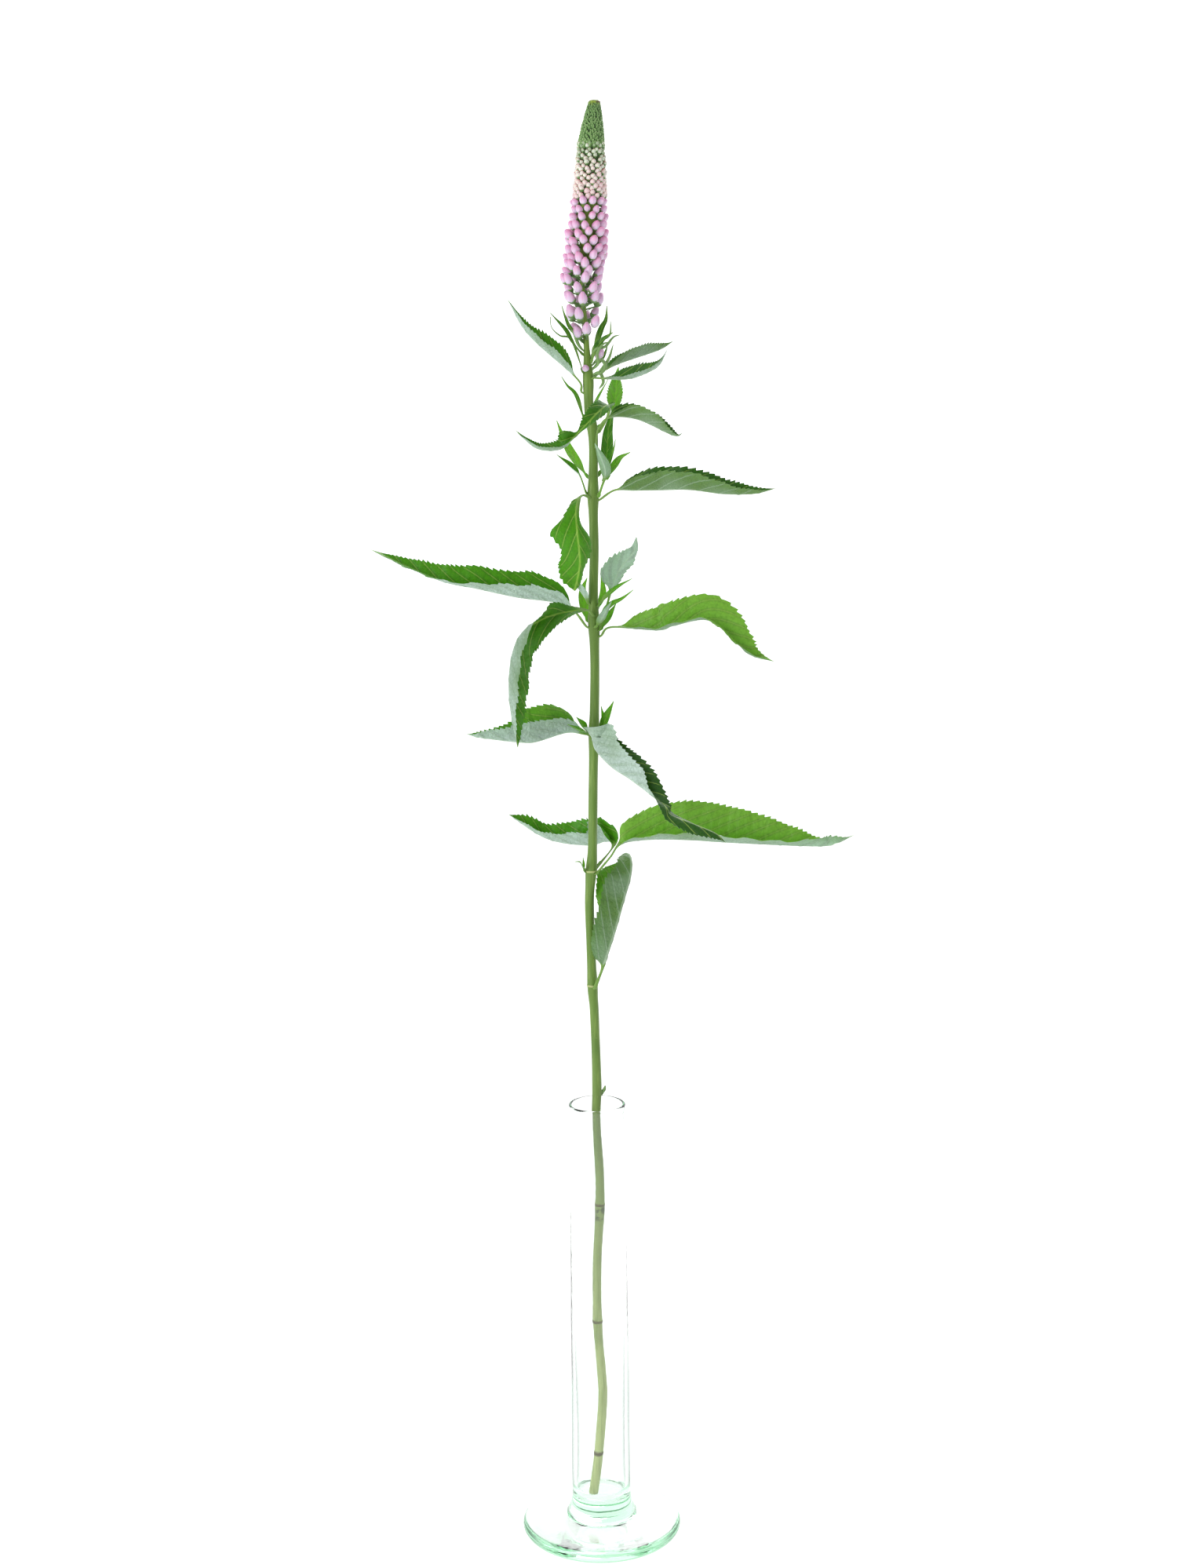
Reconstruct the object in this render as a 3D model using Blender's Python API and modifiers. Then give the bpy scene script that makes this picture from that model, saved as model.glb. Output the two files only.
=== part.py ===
"""A cut speedwell stem with its flower spike, standing in a small footed glass tube vase.

Every length below is in millimetres and is multiplied by MM where a mesh is written.
The vase axis is +Z, its foot rests on z = 0, and -Y is the side that faces the viewer.
"""

import math
from collections import namedtuple

import bmesh
import bpy
import numpy as np
from mathutils import Matrix, Vector

MM = 0.001
GAP = 0.35  # air between two pieces that touch on the real object
SEAT_GAP = 0.7  # the same at the middle of a leaf stalk's end, whose corners lie nearer

# Vase
VASE_HEIGHT = 200.0
RIM_RADIUS = 12.5
TUBE_RADIUS = 13.3  # just above the foot, narrowing towards the rim
BORE_RADIUS = 11.2
FLOOR_HEIGHT = 16.5  # inner floor of the tube
FLOOR_CORNER = 5.5
COLLAR_RADIUS = 15.2
FOOT_RADIUS = 35.8
FOOT_EDGE = 5.0
FOOT_DOME = 7.2
VASE_STEPS = 40

# Stem: the route of its centre, from the cut end on the vase floor to the top of the spike's axis
STEM_ROUTE = [
    (-3.9, -3.9, 17.2), (-1.2, -2.6, 36), (1.1, -0.9, 60.6), (0.9, 0, 72.7), (-0.8, 1.6, 97.1),
    (-0.8, 3.5, 123.6), (0.7, 5.2, 148.4), (0.8, 6.4, 165.3), (-0.4, 8, 188.9), (0.1, 9.3, 206.7),
    (-0.6, 11.4, 237.6), (-1.2, 12.1, 247.8), (-1.9, 13.8, 271.4), (-2.2, 15, 288.3), (-1.4, 15.8, 300.5),
    (-0.6, 16.6, 311.7), (0, 18.4, 338.1), (0.7, 20.2, 363.3), (1.4, 22.1, 390.9), (1.1, 24.2, 421.3),
    (1.7, 25.7, 441.8), (1.5, 27.2, 464.5), (1.9, 29, 489.5), (0.2, 29.9, 503), (0, 30.8, 515.7),
    (-0.7, 32, 532.5), (-2.1, 33.4, 553.5), (-0.3, 34.3, 566.4), (0.3, 34.9, 575), (1.2, 35.7, 586.2),
    (2.4, 37.6, 613.8),
]
STEM_RADIUS = 2.0
NODE_SWELLING = [(98, 0.2), (151, 0.25), (205, 0.2), (250.5, 0.4), (301.5, 0.5), (362, 0.45),
                 (410, 0.6), (465.5, 0.55), (497, 0.4), (514, 0.4)]  # height, extra radius
NODE_SPREAD = 6.0
RACHIS_START, RACHIS_RADIUS, RACHIS_TIP_RADIUS = 524.5, 1.25, 0.9
STEM_POINTS = 58
STEM_SIDES_LEVEL = 2

# Leaves
BLADE_THICKNESS = 0.5
PETIOLE_HALF_WIDTH = 0.8
TIP_HALF_WIDTH = 0.25
LEAF_STEPS = 12
LEAFLET_STEPS = 6

# A leaf starts on the stem at seat = (height, direction in degrees) or at a point on another stalk, and its
# midrib runs through the route. faces are the directions its upper side looks in, spread evenly along it.
# A blade row is (share of the length, half width and lift in degrees on one side, the same on the other).
Leaf = namedtuple("Leaf", "seat route faces blade")
# A leaflet is a narrow lance shape: stalk is the bare share of its length, fold the lift of both halves.
Leaflet = namedtuple("Leaflet", "seat route width stalk face fold")

LEAVES = {
    "top_leaf_left": Leaf(
        seat=(510, 185),
        route=[(-5, 28, 516), (-25, 21, 534), (-34, 21, 549)],
        faces=[(0.75, 0, 0.65)],
        blade=[(0.14, 0.8, 20, 0.8, 20), (0.24, 4, 75, 3.5, 35), (0.38, 6.5, 78, 5.5, 38),
               (0.55, 6, 78, 5, 38), (0.78, 3, 75, 3, 35), (1, 0.2, 70, 0.2, 30)],
    ),
    "top_leaf_back": Leaf(
        seat=(517, 35),
        route=[(13, 41, 522), (31, 51, 528), (38, 54, 532)],
        faces=[(0, 0, 1)],
        blade=[(0.15, 0.8, 40, 0.8, 40), (0.3, 2.6, 70, 2.8, 60), (0.52, 4.2, 75, 3.9, 60),
               (0.72, 4.2, 72, 3.8, 60), (0.87, 2.6, 70, 2.4, 60), (1, 0.2, 40, 0.2, 40)],
    ),
    "top_leaf_right": Leaf(
        seat=(516, 325),
        route=[(16, 15, 515), (24, 9, 517), (30, 6, 520), (33, 5, 523)],
        faces=[(0, 0, 1)],
        blade=[(0.12, 0.8, 20, 0.8, 30), (0.3, 3, 20, 4, 75), (0.5, 3.8, 20, 6, 78),
               (0.7, 3.4, 20, 4.6, 78), (0.88, 1.6, 20, 1.8, 75), (1, 0.2, 20, 0.2, 40)],
    ),
    "upper_leaf_right": Leaf(
        seat=(487, 290),
        route=[(4, 22, 494), (9, 18, 499), (21, 16, 498), (36, 11, 491), (40, 10, 492)],
        faces=[(-0.8, -0.4, 0.3), (-0.6, -0.3, 0.8), (0, 0, 1), (0.2, 0, 1), (0.2, 0, 1), (0.1, 0, 1)],
        blade=[(0.28, 0.8, 20, 0.8, 20), (0.38, 3, 45, 5, 75), (0.5, 6.2, 62, 6.2, 80),
               (0.65, 6.8, 66, 5.6, 80), (0.82, 4.2, 62, 4, 78), (1, 0.2, 30, 0.2, 40)],
    ),
    "upper_leaf_curled": Leaf(
        seat=(493, 5),
        route=[(8, 26, 499), (9, 20, 504), (5, 9, 502), (-6, 1, 491), (-12, -0, 486), (-21, -0, 486),
               (-27, 1, 490), (-31, 3, 494)],
        faces=[(-0.5, -0.6, 0.5), (-0.2, -0.9, 0.6), (0, -1, 0.6), (0, -0.4, 1), (0, 0, 1), (0.2, 0, 1)],
        blade=[(0.12, 0.8, 20, 0.8, 20), (0.25, 3, 25, 3, 25), (0.38, 3.6, 25, 3.4, 25),
               (0.5, 1.9, 40, 1.8, 40), (0.6, 4, 60, 3.6, 40), (0.75, 3.2, 75, 3, 45),
               (0.9, 1.6, 75, 1.6, 45), (1, 0.2, 70, 0.2, 40)],
    ),
    "middle_leaf_left": Leaf(
        seat=(465, 232),
        route=[(-3, 21, 466), (-5, 16, 464), (-6, 11, 459), (-5, 6, 451), (-4, 4, 436), (-9, 6, 421)],
        faces=[(-0.3, -0.3, 1), (-0.4, -0.8, 0.4), (-0.3, -0.9, 0.1), (-0.3, -0.9, 0), (-0.3, -0.9, 0.1)],
        blade=[(0.14, 0.8, 20, 0.8, 20), (0.26, 5.5, 25, 3, 55), (0.42, 11, 15, 8, 60),
               (0.55, 8, 15, 8, 50), (0.68, 9.5, 20, 5.5, 55), (0.85, 5, 20, 3, 60),
               (1, 0.2, 20, 0.2, 60)],
    ),
    "middle_leaf_right": Leaf(
        seat=(464, 350),
        route=[(11, 24, 468), (19, 22, 468), (29, 21, 468), (43, 18, 468), (58, 17, 466), (71, 16, 466),
               (80, 15, 468)],
        faces=[(0, 0, 1)],
        blade=[(0.11, 0.8, 30, 0.8, 40), (0.17, 4, 60, 5, 80), (0.28, 8, 66, 9, 88),
               (0.42, 9, 68, 10, 88), (0.62, 7.5, 60, 8.2, 84), (0.85, 3.4, 45, 4, 80),
               (1, 0.2, 45, 0.2, 70)],
    ),
    "lower_leaf_left": Leaf(
        seat=(409, 195),
        route=[(-11, 19, 419), (-32, 15, 423), (-49, 13, 427), (-66, 13, 431), (-95, 17, 444)],
        faces=[(0, 0, 1)],
        blade=[(0.11, 0.8, 30, 0.8, 30), (0.17, 5, 60, 6, 30), (0.3, 12, 80, 8.5, 28),
               (0.42, 10.3, 82, 7.5, 26), (0.56, 9.4, 84, 7, 8), (0.74, 6, 80, 6, -8),
               (0.88, 2.7, 75, 3.6, -14), (1, 0.2, 40, 0.2, 0)],
    ),
    "lower_leaf_front": Leaf(
        seat=(414, 270),
        route=[(-3, 14, 417), (-18, 5, 415), (-29, -2, 409), (-34, -5, 398), (-35, -8, 381),
               (-32, -8, 360)],
        faces=[(0, -0.4, 0.9), (0, -0.6, 0.8), (0, -0.8, 0.6), (0.5, -0.8, 0), (0.9, -0.4, 0),
               (0.9, -0.4, 0), (0.9, -0.4, 0)],
        blade=[(0.08, 0.8, 20, 0.8, 20), (0.16, 3, 20, 3, 20), (0.3, 4.5, 30, 3.5, 30),
               (0.42, 5, 65, 4, 35), (0.55, 6.5, 72, 9, 24), (0.72, 6.5, 70, 9.6, 24),
               (0.88, 3.5, 60, 5.4, 26), (1, 0.2, 50, 0.2, 30)],
    ),
    "lower_leaf_right": Leaf(
        seat=(405, 345),
        route=[(9, 20, 409), (29, 15, 408), (36, 14, 410), (51, 13, 412), (63, 10, 402), (69, 9, 397),
               (79, 9, 394)],
        faces=[(0, 0, 1)],
        blade=[(0.12, 0.8, 10, 0.8, 40), (0.2, 4, 12, 6.5, 78), (0.33, 7.5, 12, 10.3, 82),
               (0.42, 7.5, 12, 10.5, 84), (0.52, 8, 10, 11, 84), (0.64, 8, 8, 10.8, 80),
               (0.8, 5, 12, 7.2, 78), (0.92, 2.2, 20, 3, 70), (1, 0.2, 20, 0.2, 40)],
    ),
    "base_leaf_left": Leaf(
        seat=(362, 190),
        route=[(-11, 13, 364), (-24, 7, 361), (-31, 5, 361), (-48, -1, 364), (-54, -4, 366)],
        faces=[(0, 0, 1)],
        blade=[(0.07, 0.8, 40, 0.8, 50), (0.12, 6, 55, 6, 78), (0.27, 12, 58, 12.8, 84),
               (0.48, 13, 58, 14.4, 84), (0.6, 9, 56, 10.2, 80), (0.72, 6, 56, 6.4, 78),
               (0.88, 3.2, 50, 3.6, 70), (1, 0.2, 30, 0.2, 40)],
    ),
    "base_leaf_right": Leaf(
        seat=(361, 300),
        route=[(1, 14, 357), (8, 5, 350), (17, -4, 345), (30, -15, 336), (33, -16, 332), (43, -18, 328),
               (52, -19, 324), (56, -18, 320)],
        faces=[(0.7, 0, 0.7), (0.7, 0, 0.7), (0.6, 0, 0.8), (0.7, 0, 0.7), (0.6, 0, 0.8), (0.3, 0, 0.9)],
        blade=[(0.04, 0.8, 30, 0.8, 30), (0.1, 6, 72, 7, 82), (0.26, 9.3, 74, 12, 84),
               (0.42, 7, 76, 9.5, 84), (0.54, 3.4, 20, 6, 75), (0.64, 3.6, -45, 3, 40),
               (0.8, 4.8, -68, 3.2, -10), (0.92, 3, -62, 2, -10), (1, 0.3, -50, 0.2, -10)],
    ),
    "foot_leaf_left": Leaf(
        seat=(302, 50),
        route=[(9, 28, 311), (5, 36, 311), (-3, 38, 309), (-21, 39, 312), (-38, 34, 324)],
        faces=[(-0.4, -0.4, 0.8), (0, 0, 1), (0, 0, 1), (0, 0, 1), (0, 0, 1)],
        blade=[(0.2, 0.8, 40, 0.8, 40), (0.29, 10.5, 72, 7.5, 60), (0.46, 12, 82, 9.5, 58),
               (0.6, 9.5, 80, 7.5, 52), (0.74, 6.5, 74, 5, 35), (0.88, 5, 80, 3, 20),
               (1, 0.2, 70, 0.2, 20)],
    ),
    "foot_leaf_right": Leaf(
        seat=(301, 325),
        route=[(7, 9, 309), (12, 9, 315), (24, 8, 317), (42, 6, 317), (59, 4, 316), (96, -2, 315),
               (105, -5, 317), (112, -5, 320)],
        faces=[(-0.3, -0.3, 0.9), (0, 0, 1), (0, 0, 1), (0, 0, 1)],
        blade=[(0.14, 0.8, 20, 0.8, 50), (0.18, 6, 24, 8.5, 84), (0.28, 12, 22, 14.5, 82),
               (0.42, 14, 22, 17.2, 82), (0.6, 12, 22, 14.5, 80), (0.78, 8, 24, 8.5, 76),
               (0.9, 4, 30, 4, 70), (1, 0.2, 30, 0.2, 60)],
    ),
    "lowest_leaf": Leaf(
        seat=(250, 290),
        route=[(3, 7, 264), (9, 10, 284), (11, 21, 301), (12, 30, 304), (12, 42, 303)],
        faces=[(-0.1, 0.95, 0.2), (-0.1, 0.95, 0.2), (-0.2, 0.95, 0.1), (-0.1, 0.7, 0.7), (0, 0.3, 0.9)],
        blade=[(0.14, 0.8, 20, 0.8, 60), (0.22, 6, 20, 4, 78), (0.33, 9, 16, 7, 80),
               (0.5, 6.6, 18, 8, 58), (0.66, 7, 18, 8.4, 26), (0.82, 5.5, 20, 6.5, 14),
               (1, 0.2, 20, 0.2, 30)],
    ),
}

LEAFLETS = {
    "upper_leaf_back": Leaflet(
        seat=(494.5, 40), route=[(10.5, 38, 501), (12, 43.5, 508), (12.5, 50, 515.5), (13.5, 53, 521)],
        width=9, stalk=0.3, face=(-0.2, -0.9, 0.3), fold=28),
    "upper_sprig_left": Leaflet(
        seat=(499, 195), route=[(-5.5, 24.5, 508.5), (-9, 22.5, 512.5), (-11.5, 22, 516.5)],
        width=2.8, stalk=0.1, face=(0.5, -0.7, 0.5), fold=20),
    "upper_sprig_right": Leaflet(
        seat=(499, 300), route=[(2.5, 25, 504), (8.5, 22, 515)],
        width=1.8, stalk=0.1, face=(-0.5, -0.7, 0.5), fold=20),
    "upper_sprig_back": Leaflet(
        seat=(474.5, 30), route=[(7, 32.5, 480), (8, 32.5, 486), (8.5, 32, 493), (10, 32.5, 499.5),
            (11.5, 32, 504.5)],
        width=5.5, stalk=0.1, face=(-0.2, -1, 0.1), fold=20),
    "middle_shoot_stalk_left": Leaflet(
        seat=(466.5, 200), route=[(-4, 23, 474), (-7, 21, 477), (-14, 19.5, 483.5)],
        width=4.5, stalk=0.38, face=(0.5, -0.5, 0.7), fold=40),
    "middle_shoot_left": Leaflet(
        seat=(473.5, 150), route=[(-7.5, 33.5, 483), (-11, 36, 490), (-14, 38.5, 498)],
        width=5, stalk=0.1, face=(0.5, -0.8, 0.3), fold=15),
    "middle_shoot_front": Leaflet(
        seat=(465.5, 318), route=[(5, 22.5, 468.5), (7, 22, 475.5), (5, 21.5, 482), (2.5, 21, 488)],
        width=4.4, stalk=0.32, face=(0.3, 0.9, 0.2), fold=20),
    "middle_shoot_thin": Leaflet(
        seat=(6.5, 23.4, 473), route=[(10.5, 27, 485), (11.5, 28.5, 489.5)],
        width=2, stalk=0.1, face=(-0.5, -0.7, 0.5), fold=20),
    "middle_shoot_right": Leaflet(
        seat=(8, 22.6, 473.5), route=[(10.5, 25.5, 477.5), (13.5, 28, 481.5), (18, 30, 484)],
        width=4, stalk=0.1, face=(-0.4, -0.8, 0.5), fold=20),
    "lower_shoot_left": Leaflet(
        seat=(419, 215), route=[(-3.5, 19.5, 424), (-7.5, 17.5, 429), (-14, 16, 434)],
        width=4.7, stalk=0.05, face=(0.6, 0.5, 0.6), fold=20),
    "lower_shoot_left_back": Leaflet(
        seat=(411.5, 150), route=[(-3, 28, 418.5), (-3.5, 30.5, 424.5), (-1.5, 33, 429.5)],
        width=5, stalk=0.05, face=(0.3, -0.9, 0.2), fold=15),
    "lower_shoot_large": Leaflet(
        seat=(409, 45), route=[(6.5, 27, 416.5), (9, 28.5, 424.5), (12, 30, 434), (16, 30.5, 440.5),
            (20.5, 32, 446)],
        width=11.5, stalk=0.35, face=(-0.3, 0.9, 0.3), fold=15),
    "lower_shoot_upper": Leaflet(
        seat=(418.5, 330), route=[(6, 20, 421.5), (12, 18.5, 426.5), (18, 18, 430)],
        width=3.2, stalk=0.05, face=(-0.3, -0.6, 0.7), fold=25),
    "lower_shoot_middle": Leaflet(
        seat=(408, 325), route=[(6, 21, 415), (9, 21, 418.5), (13.5, 20, 421), (18.5, 19.5, 425)],
        width=3.6, stalk=0.1, face=(-0.3, -0.6, 0.7), fold=25),
    "lower_shoot_right": Leaflet(
        seat=(408, 5), route=[(8, 25.5, 413.5), (11, 27, 418.5)],
        width=3.5, stalk=0.1, face=(-0.3, -0.8, 0.4), fold=20),
    "lower_shoot_front": Leaflet(
        seat=(409, 285), route=[(5, 16.5, 413.5), (9, 16, 420.5)],
        width=4, stalk=0.1, face=(-0.3, 0.8, 0.4), fold=20),
    "lower_shoot_back": Leaflet(
        seat=(416, 60), route=[(5.5, 29.5, 423), (4.5, 31, 432)],
        width=3.2, stalk=0.05, face=(-0.3, -0.8, 0.4), fold=20),
    "base_shoot_left": Leaflet(
        seat=(362.5, 230), route=[(-5, 12, 364.5), (-11, 8.5, 368)],
        width=4, stalk=0.1, face=(0.2, -0.5, 0.8), fold=20),
    "base_shoot_left_back": Leaflet(
        seat=(363, 150), route=[(-4, 20.5, 366), (-7, 20.5, 369.5)],
        width=3.5, stalk=0.1, face=(0.5, -0.7, 0.5), fold=20),
    "base_shoot_right": Leaflet(
        seat=(360.5, 30), route=[(5, 22.5, 366), (9.5, 23, 376)],
        width=2.9, stalk=0.15, face=(-0.5, -0.8, 0.3), fold=20),
    "base_shoot_thin": Leaflet(
        seat=(362, 95), route=[(5, 24.5, 366), (4, 25, 373.5)],
        width=1.7, stalk=0.15, face=(-0.2, -0.8, 0.3), fold=20),
    "foot_shoot_left": Leaflet(
        seat=(301.5, 205), route=[(-6, 10, 306.5), (-8.5, 9.5, 307)],
        width=1.8, stalk=0.1, face=(0.3, -0.5, 0.8), fold=20),
    "foot_shoot_thin": Leaflet(
        seat=(302, 165), route=[(-4.6, 16.2, 304.5), (-4.8, 16.6, 307.5)],
        width=1.3, stalk=0.1, face=(0.5, -0.8, 0.3), fold=15),
    "bract_left": Leaflet(
        seat=(526, 190), route=[(-7, 29, 531.5), (-10, 27.5, 536.5), (-16, 27, 543.5)],
        width=2.6, stalk=0.2, face=(0.6, -0.6, 0.5), fold=25),
    "bract_left_thin": Leaflet(
        seat=(518.5, 225), route=[(-7, 32, 532), (-12, 31, 534), (-15.5, 30.5, 537.5), (-16, 30.5, 542)],
        width=1.1, stalk=0.1, face=(0.3, -0.8, 0.5), fold=15),
    "bract_left_up": Leaflet(
        seat=(531.5, 215), route=[(-7.5, 28, 537), (-9.5, 27.5, 541.5), (-11, 28, 546.5)],
        width=2, stalk=0.1, face=(0.4, -0.8, 0.3), fold=20),
    "bract_right": Leaflet(
        seat=(525, 10), route=[(6, 33, 536.5), (8, 33.5, 540.5), (8.5, 34, 546.5)],
        width=2.9, stalk=0.15, face=(-0.4, -0.8, 0.3), fold=25),
    "bract_right_thin": Leaflet(
        seat=(519.5, 55), route=[(6.5, 33.5, 524.5), (9, 35, 531)],
        width=1.2, stalk=0.1, face=(-0.4, -0.8, 0.3), fold=20),
    "bract_right_curl": Leaflet(
        seat=(522.5, 315), route=[(3, 28.5, 527), (5.5, 29, 530.5), (8, 28, 533), (11, 28, 535)],
        width=2.4, stalk=0.15, face=(-0.4, -0.7, 0.5), fold=25),
}

# Flower spike: whorls of buds round the stem's top, as (height, reach, buds, first direction, full turn)
Whorl = namedtuple("Whorl", "height reach buds start turn")
PINK_WHORLS = {
    "pink_buds_1": Whorl(536.6, 5.7, 3, 165, 110),
    "pink_buds_2": Whorl(543.1, 6.9, 6, 140, 300),
    "pink_buds_3": Whorl(549.6, 7.7, 8, 30, 360),
    "pink_buds_4": Whorl(556.2, 8.7, 8, 8, 360),
    "pink_buds_5": Whorl(562.8, 8.8, 8, 30, 360),
    "pink_buds_6": Whorl(569.3, 9.1, 8, 8, 360),
    "pink_buds_7": Whorl(575.9, 8.9, 8, 30, 360),
    "pink_buds_8": Whorl(582.5, 8.2, 8, 8, 360),
    "pink_buds_9": Whorl(588.8, 7.4, 8, 30, 360),
}
BUD_LENGTH, BUD_WIDTH = 5.4, 4.1
BUD_TILT = 38.0  # from upright
FULL_SIZE_REACH = 8.0  # buds of a narrower whorl are smaller in proportion
COLLAR_HEIGHT = 3.4
COLLAR_DROP = 1.1
COLLAR_SETBACK = 3.1  # how far the collar's edge stays behind the buds' outermost points
PALE_BAND_BOTTOM, PALE_BAND_TOP = 592.8, 613.8
PALE_BAND_RADIUS, PALE_BAND_TOP_RADIUS = 6.4, 5.5
SPIKE_TIP_BOTTOM, SPIKE_TOP = 614.2, 633.0
SPIKE_TIP_RADIUS, SPIKE_TOP_RADIUS = 5.4, 2.4
SPIKE_TIP_RINGS = 11
SPIKE_TIP_LEAN = 1.6  # how far +X the tip ends from its base

MATERIALS = {
    # name: (red, green, blue), roughness, metallic, transmission
    "pale_green_glass": ((0.66, 0.80, 0.70), 0.03, 0.0, 1.0),
    "stem_green": ((0.14, 0.27, 0.06), 0.5, 0.0, 0.0),
    "leaf_green": ((0.10, 0.26, 0.04), 0.5, 0.0, 0.0),
    "young_leaf_green": ((0.22, 0.45, 0.05), 0.5, 0.0, 0.0),
    "petal_pink": ((0.80, 0.52, 0.62), 0.45, 0.0, 0.0),
    "pale_bud_cream": ((0.78, 0.66, 0.52), 0.45, 0.0, 0.0),
    "bud_scale_green": ((0.12, 0.24, 0.05), 0.5, 0.0, 0.0),
}


def clear_scene():
    for obj in list(bpy.data.objects):
        bpy.data.objects.remove(obj, do_unlink=True)


def new_collection(name):
    collection = bpy.data.collections.new(name)
    bpy.context.scene.collection.children.link(collection)
    return collection


def make_material(name):
    color, roughness, metallic, transmission = MATERIALS[name]
    material = bpy.data.materials.new(name)
    material.use_nodes = True
    shader = material.node_tree.nodes["Principled BSDF"]
    shader.inputs["Base Color"].default_value = (*color, 1.0)
    shader.inputs["Roughness"].default_value = roughness
    shader.inputs["Metallic"].default_value = metallic
    shader.inputs["Transmission Weight"].default_value = transmission
    return material


def own_material(obj, name):
    """Gives the object its own copy of a material from the list."""
    material = make_material(name)
    material.name = f"{obj.name}_{name}"
    obj.data.materials.clear()
    obj.data.materials.append(material)


def add_mesh(name, bm, collection, material=None):
    """Turns a bmesh in millimetres into an object, with its origin at the world's."""
    mesh = bpy.data.meshes.new(name)
    bmesh.ops.scale(bm, vec=Vector((MM, MM, MM)), verts=bm.verts)
    bm.to_mesh(mesh)
    bm.free()
    obj = bpy.data.objects.new(name, mesh)
    collection.objects.link(obj)
    if material:
        own_material(obj, material)
    return obj


# Curves and frames along a route


def spline(points, per_span=16):
    """A smooth (Catmull-Rom) curve through the points, with the same number of steps in each span."""
    points = np.asarray(points, float)
    ends = np.vstack([2 * points[0] - points[1], points, 2 * points[-1] - points[-2]])
    t = np.linspace(0, 1, per_span, endpoint=False)[:, None]
    spans = []
    for before, start, end, after in zip(ends, ends[1:], ends[2:], ends[3:]):
        spans.append(0.5 * (2 * start + (end - before) * t + (2 * before - 5 * start + 4 * end - after) * t**2
                            + (3 * start - before - 3 * end + after) * t**3))
    return np.vstack([*spans, points[-1:]])


def even_steps(curve, count):
    """The curve read at evenly spaced lengths."""
    length = np.r_[0, np.cumsum(np.linalg.norm(np.diff(curve, axis=0), axis=1))]
    wanted = np.linspace(0, length[-1], count)
    return np.stack([np.interp(wanted, length, column) for column in curve.T], axis=1)


STEM_CURVE = spline(STEM_ROUTE)


def stem_center(height):
    return np.array([np.interp(height, STEM_CURVE[:, 2], STEM_CURVE[:, axis]) for axis in range(3)])


def stem_radius(height):
    """The stem's radius with a soft swelling at each node, and the thinner axis of the spike above it."""
    radius = STEM_RADIUS
    for node, extra in NODE_SWELLING:
        radius += extra * math.exp(-(((height - node) / NODE_SPREAD) ** 2))
    rachis = np.interp(height, [RACHIS_START, STEM_ROUTE[-1][2]], [RACHIS_RADIUS, RACHIS_TIP_RADIUS])
    share = min(max((height - RACHIS_START + 6) / 10, 0), 1)
    return radius + (float(rachis) - radius) * share


def seat_point(seat):
    """A point just clear of the stem's surface, or the point given for a seat on another stalk."""
    if len(seat) == 3:
        return np.array(seat, float)
    height, direction = seat
    reach = stem_radius(height) + SEAT_GAP
    angle = math.radians(direction)
    return stem_center(height) + reach * np.array([math.cos(angle), math.sin(angle), 0])


# Sub-parts


def arc(center, radius, start, end, steps):
    """Points (radius from the axis, height) on an arc, from one direction in degrees to another."""
    angles = [math.radians(start + (end - start) * step / steps) for step in range(steps + 1)]
    return [(center[0] + radius * math.cos(a), center[1] + radius * math.sin(a)) for a in angles]


def vase_profile():
    """Half the vase's section: from the inner floor up the bore, over the lip and down to the underside."""
    lip = (RIM_RADIUS - BORE_RADIUS) / 2
    inner = [(0, FLOOR_HEIGHT)]
    inner += arc((BORE_RADIUS - FLOOR_CORNER, FLOOR_HEIGHT + FLOOR_CORNER), FLOOR_CORNER, -90, 0, 5)
    rim = arc((BORE_RADIUS + lip, VASE_HEIGHT - lip), lip, 180, 0, 4)
    tube = [(RIM_RADIUS, 170), (RIM_RADIUS + 0.4, 100), (TUBE_RADIUS, 16)]
    collar = [(13.9, 12), (14.7, 9.6), (COLLAR_RADIUS, 8.3), (16.6, FOOT_DOME + 0.2), (19.5, FOOT_DOME - 0.2)]
    foot = [(28, FOOT_DOME - 1)]
    foot += arc((FOOT_RADIUS - FOOT_EDGE / 2, FOOT_EDGE / 2), FOOT_EDGE / 2, 75, -90, 6)
    return inner + rim + tube + collar + foot + [(0, 0)]


def build_vase(collection):
    bm = bmesh.new()
    points = [bm.verts.new((radius, 0, height)) for radius, height in vase_profile()]
    for start, end in zip(points, points[1:]):
        bm.edges.new((start, end))
    vase = add_mesh("glass_vase", bm, collection, "pale_green_glass")
    screw = vase.modifiers.new("turn", "SCREW")
    screw.axis = "Z"
    screw.steps = screw.render_steps = VASE_STEPS
    screw.use_merge_vertices = True
    screw.merge_threshold = 0.00001
    return vase


def build_stem(collection):
    curve = bpy.data.curves.new("flower_stem", "CURVE")
    curve.dimensions = "3D"
    curve.bevel_depth = MM
    curve.bevel_resolution = STEM_SIDES_LEVEL
    curve.use_fill_caps = True
    route = even_steps(STEM_CURVE, STEM_POINTS)
    line = curve.splines.new("POLY")
    line.points.add(len(route) - 1)
    for point, place in zip(line.points, route):
        point.co = (*(place * MM), 1)
        point.radius = stem_radius(place[2])
    stem = bpy.data.objects.new("flower_stem", curve)
    collection.objects.link(stem)
    own_material(stem, "stem_green")
    return stem


def along(values, share):
    """Rows spread evenly along a leaf, read at the given shares of its length."""
    values = np.asarray(values, float)
    if len(values) == 1:
        return np.repeat(values, len(share), axis=0)
    places = np.linspace(0, 1, len(values))
    return np.stack([np.interp(share, places, column) for column in values.T], axis=1)


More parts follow.
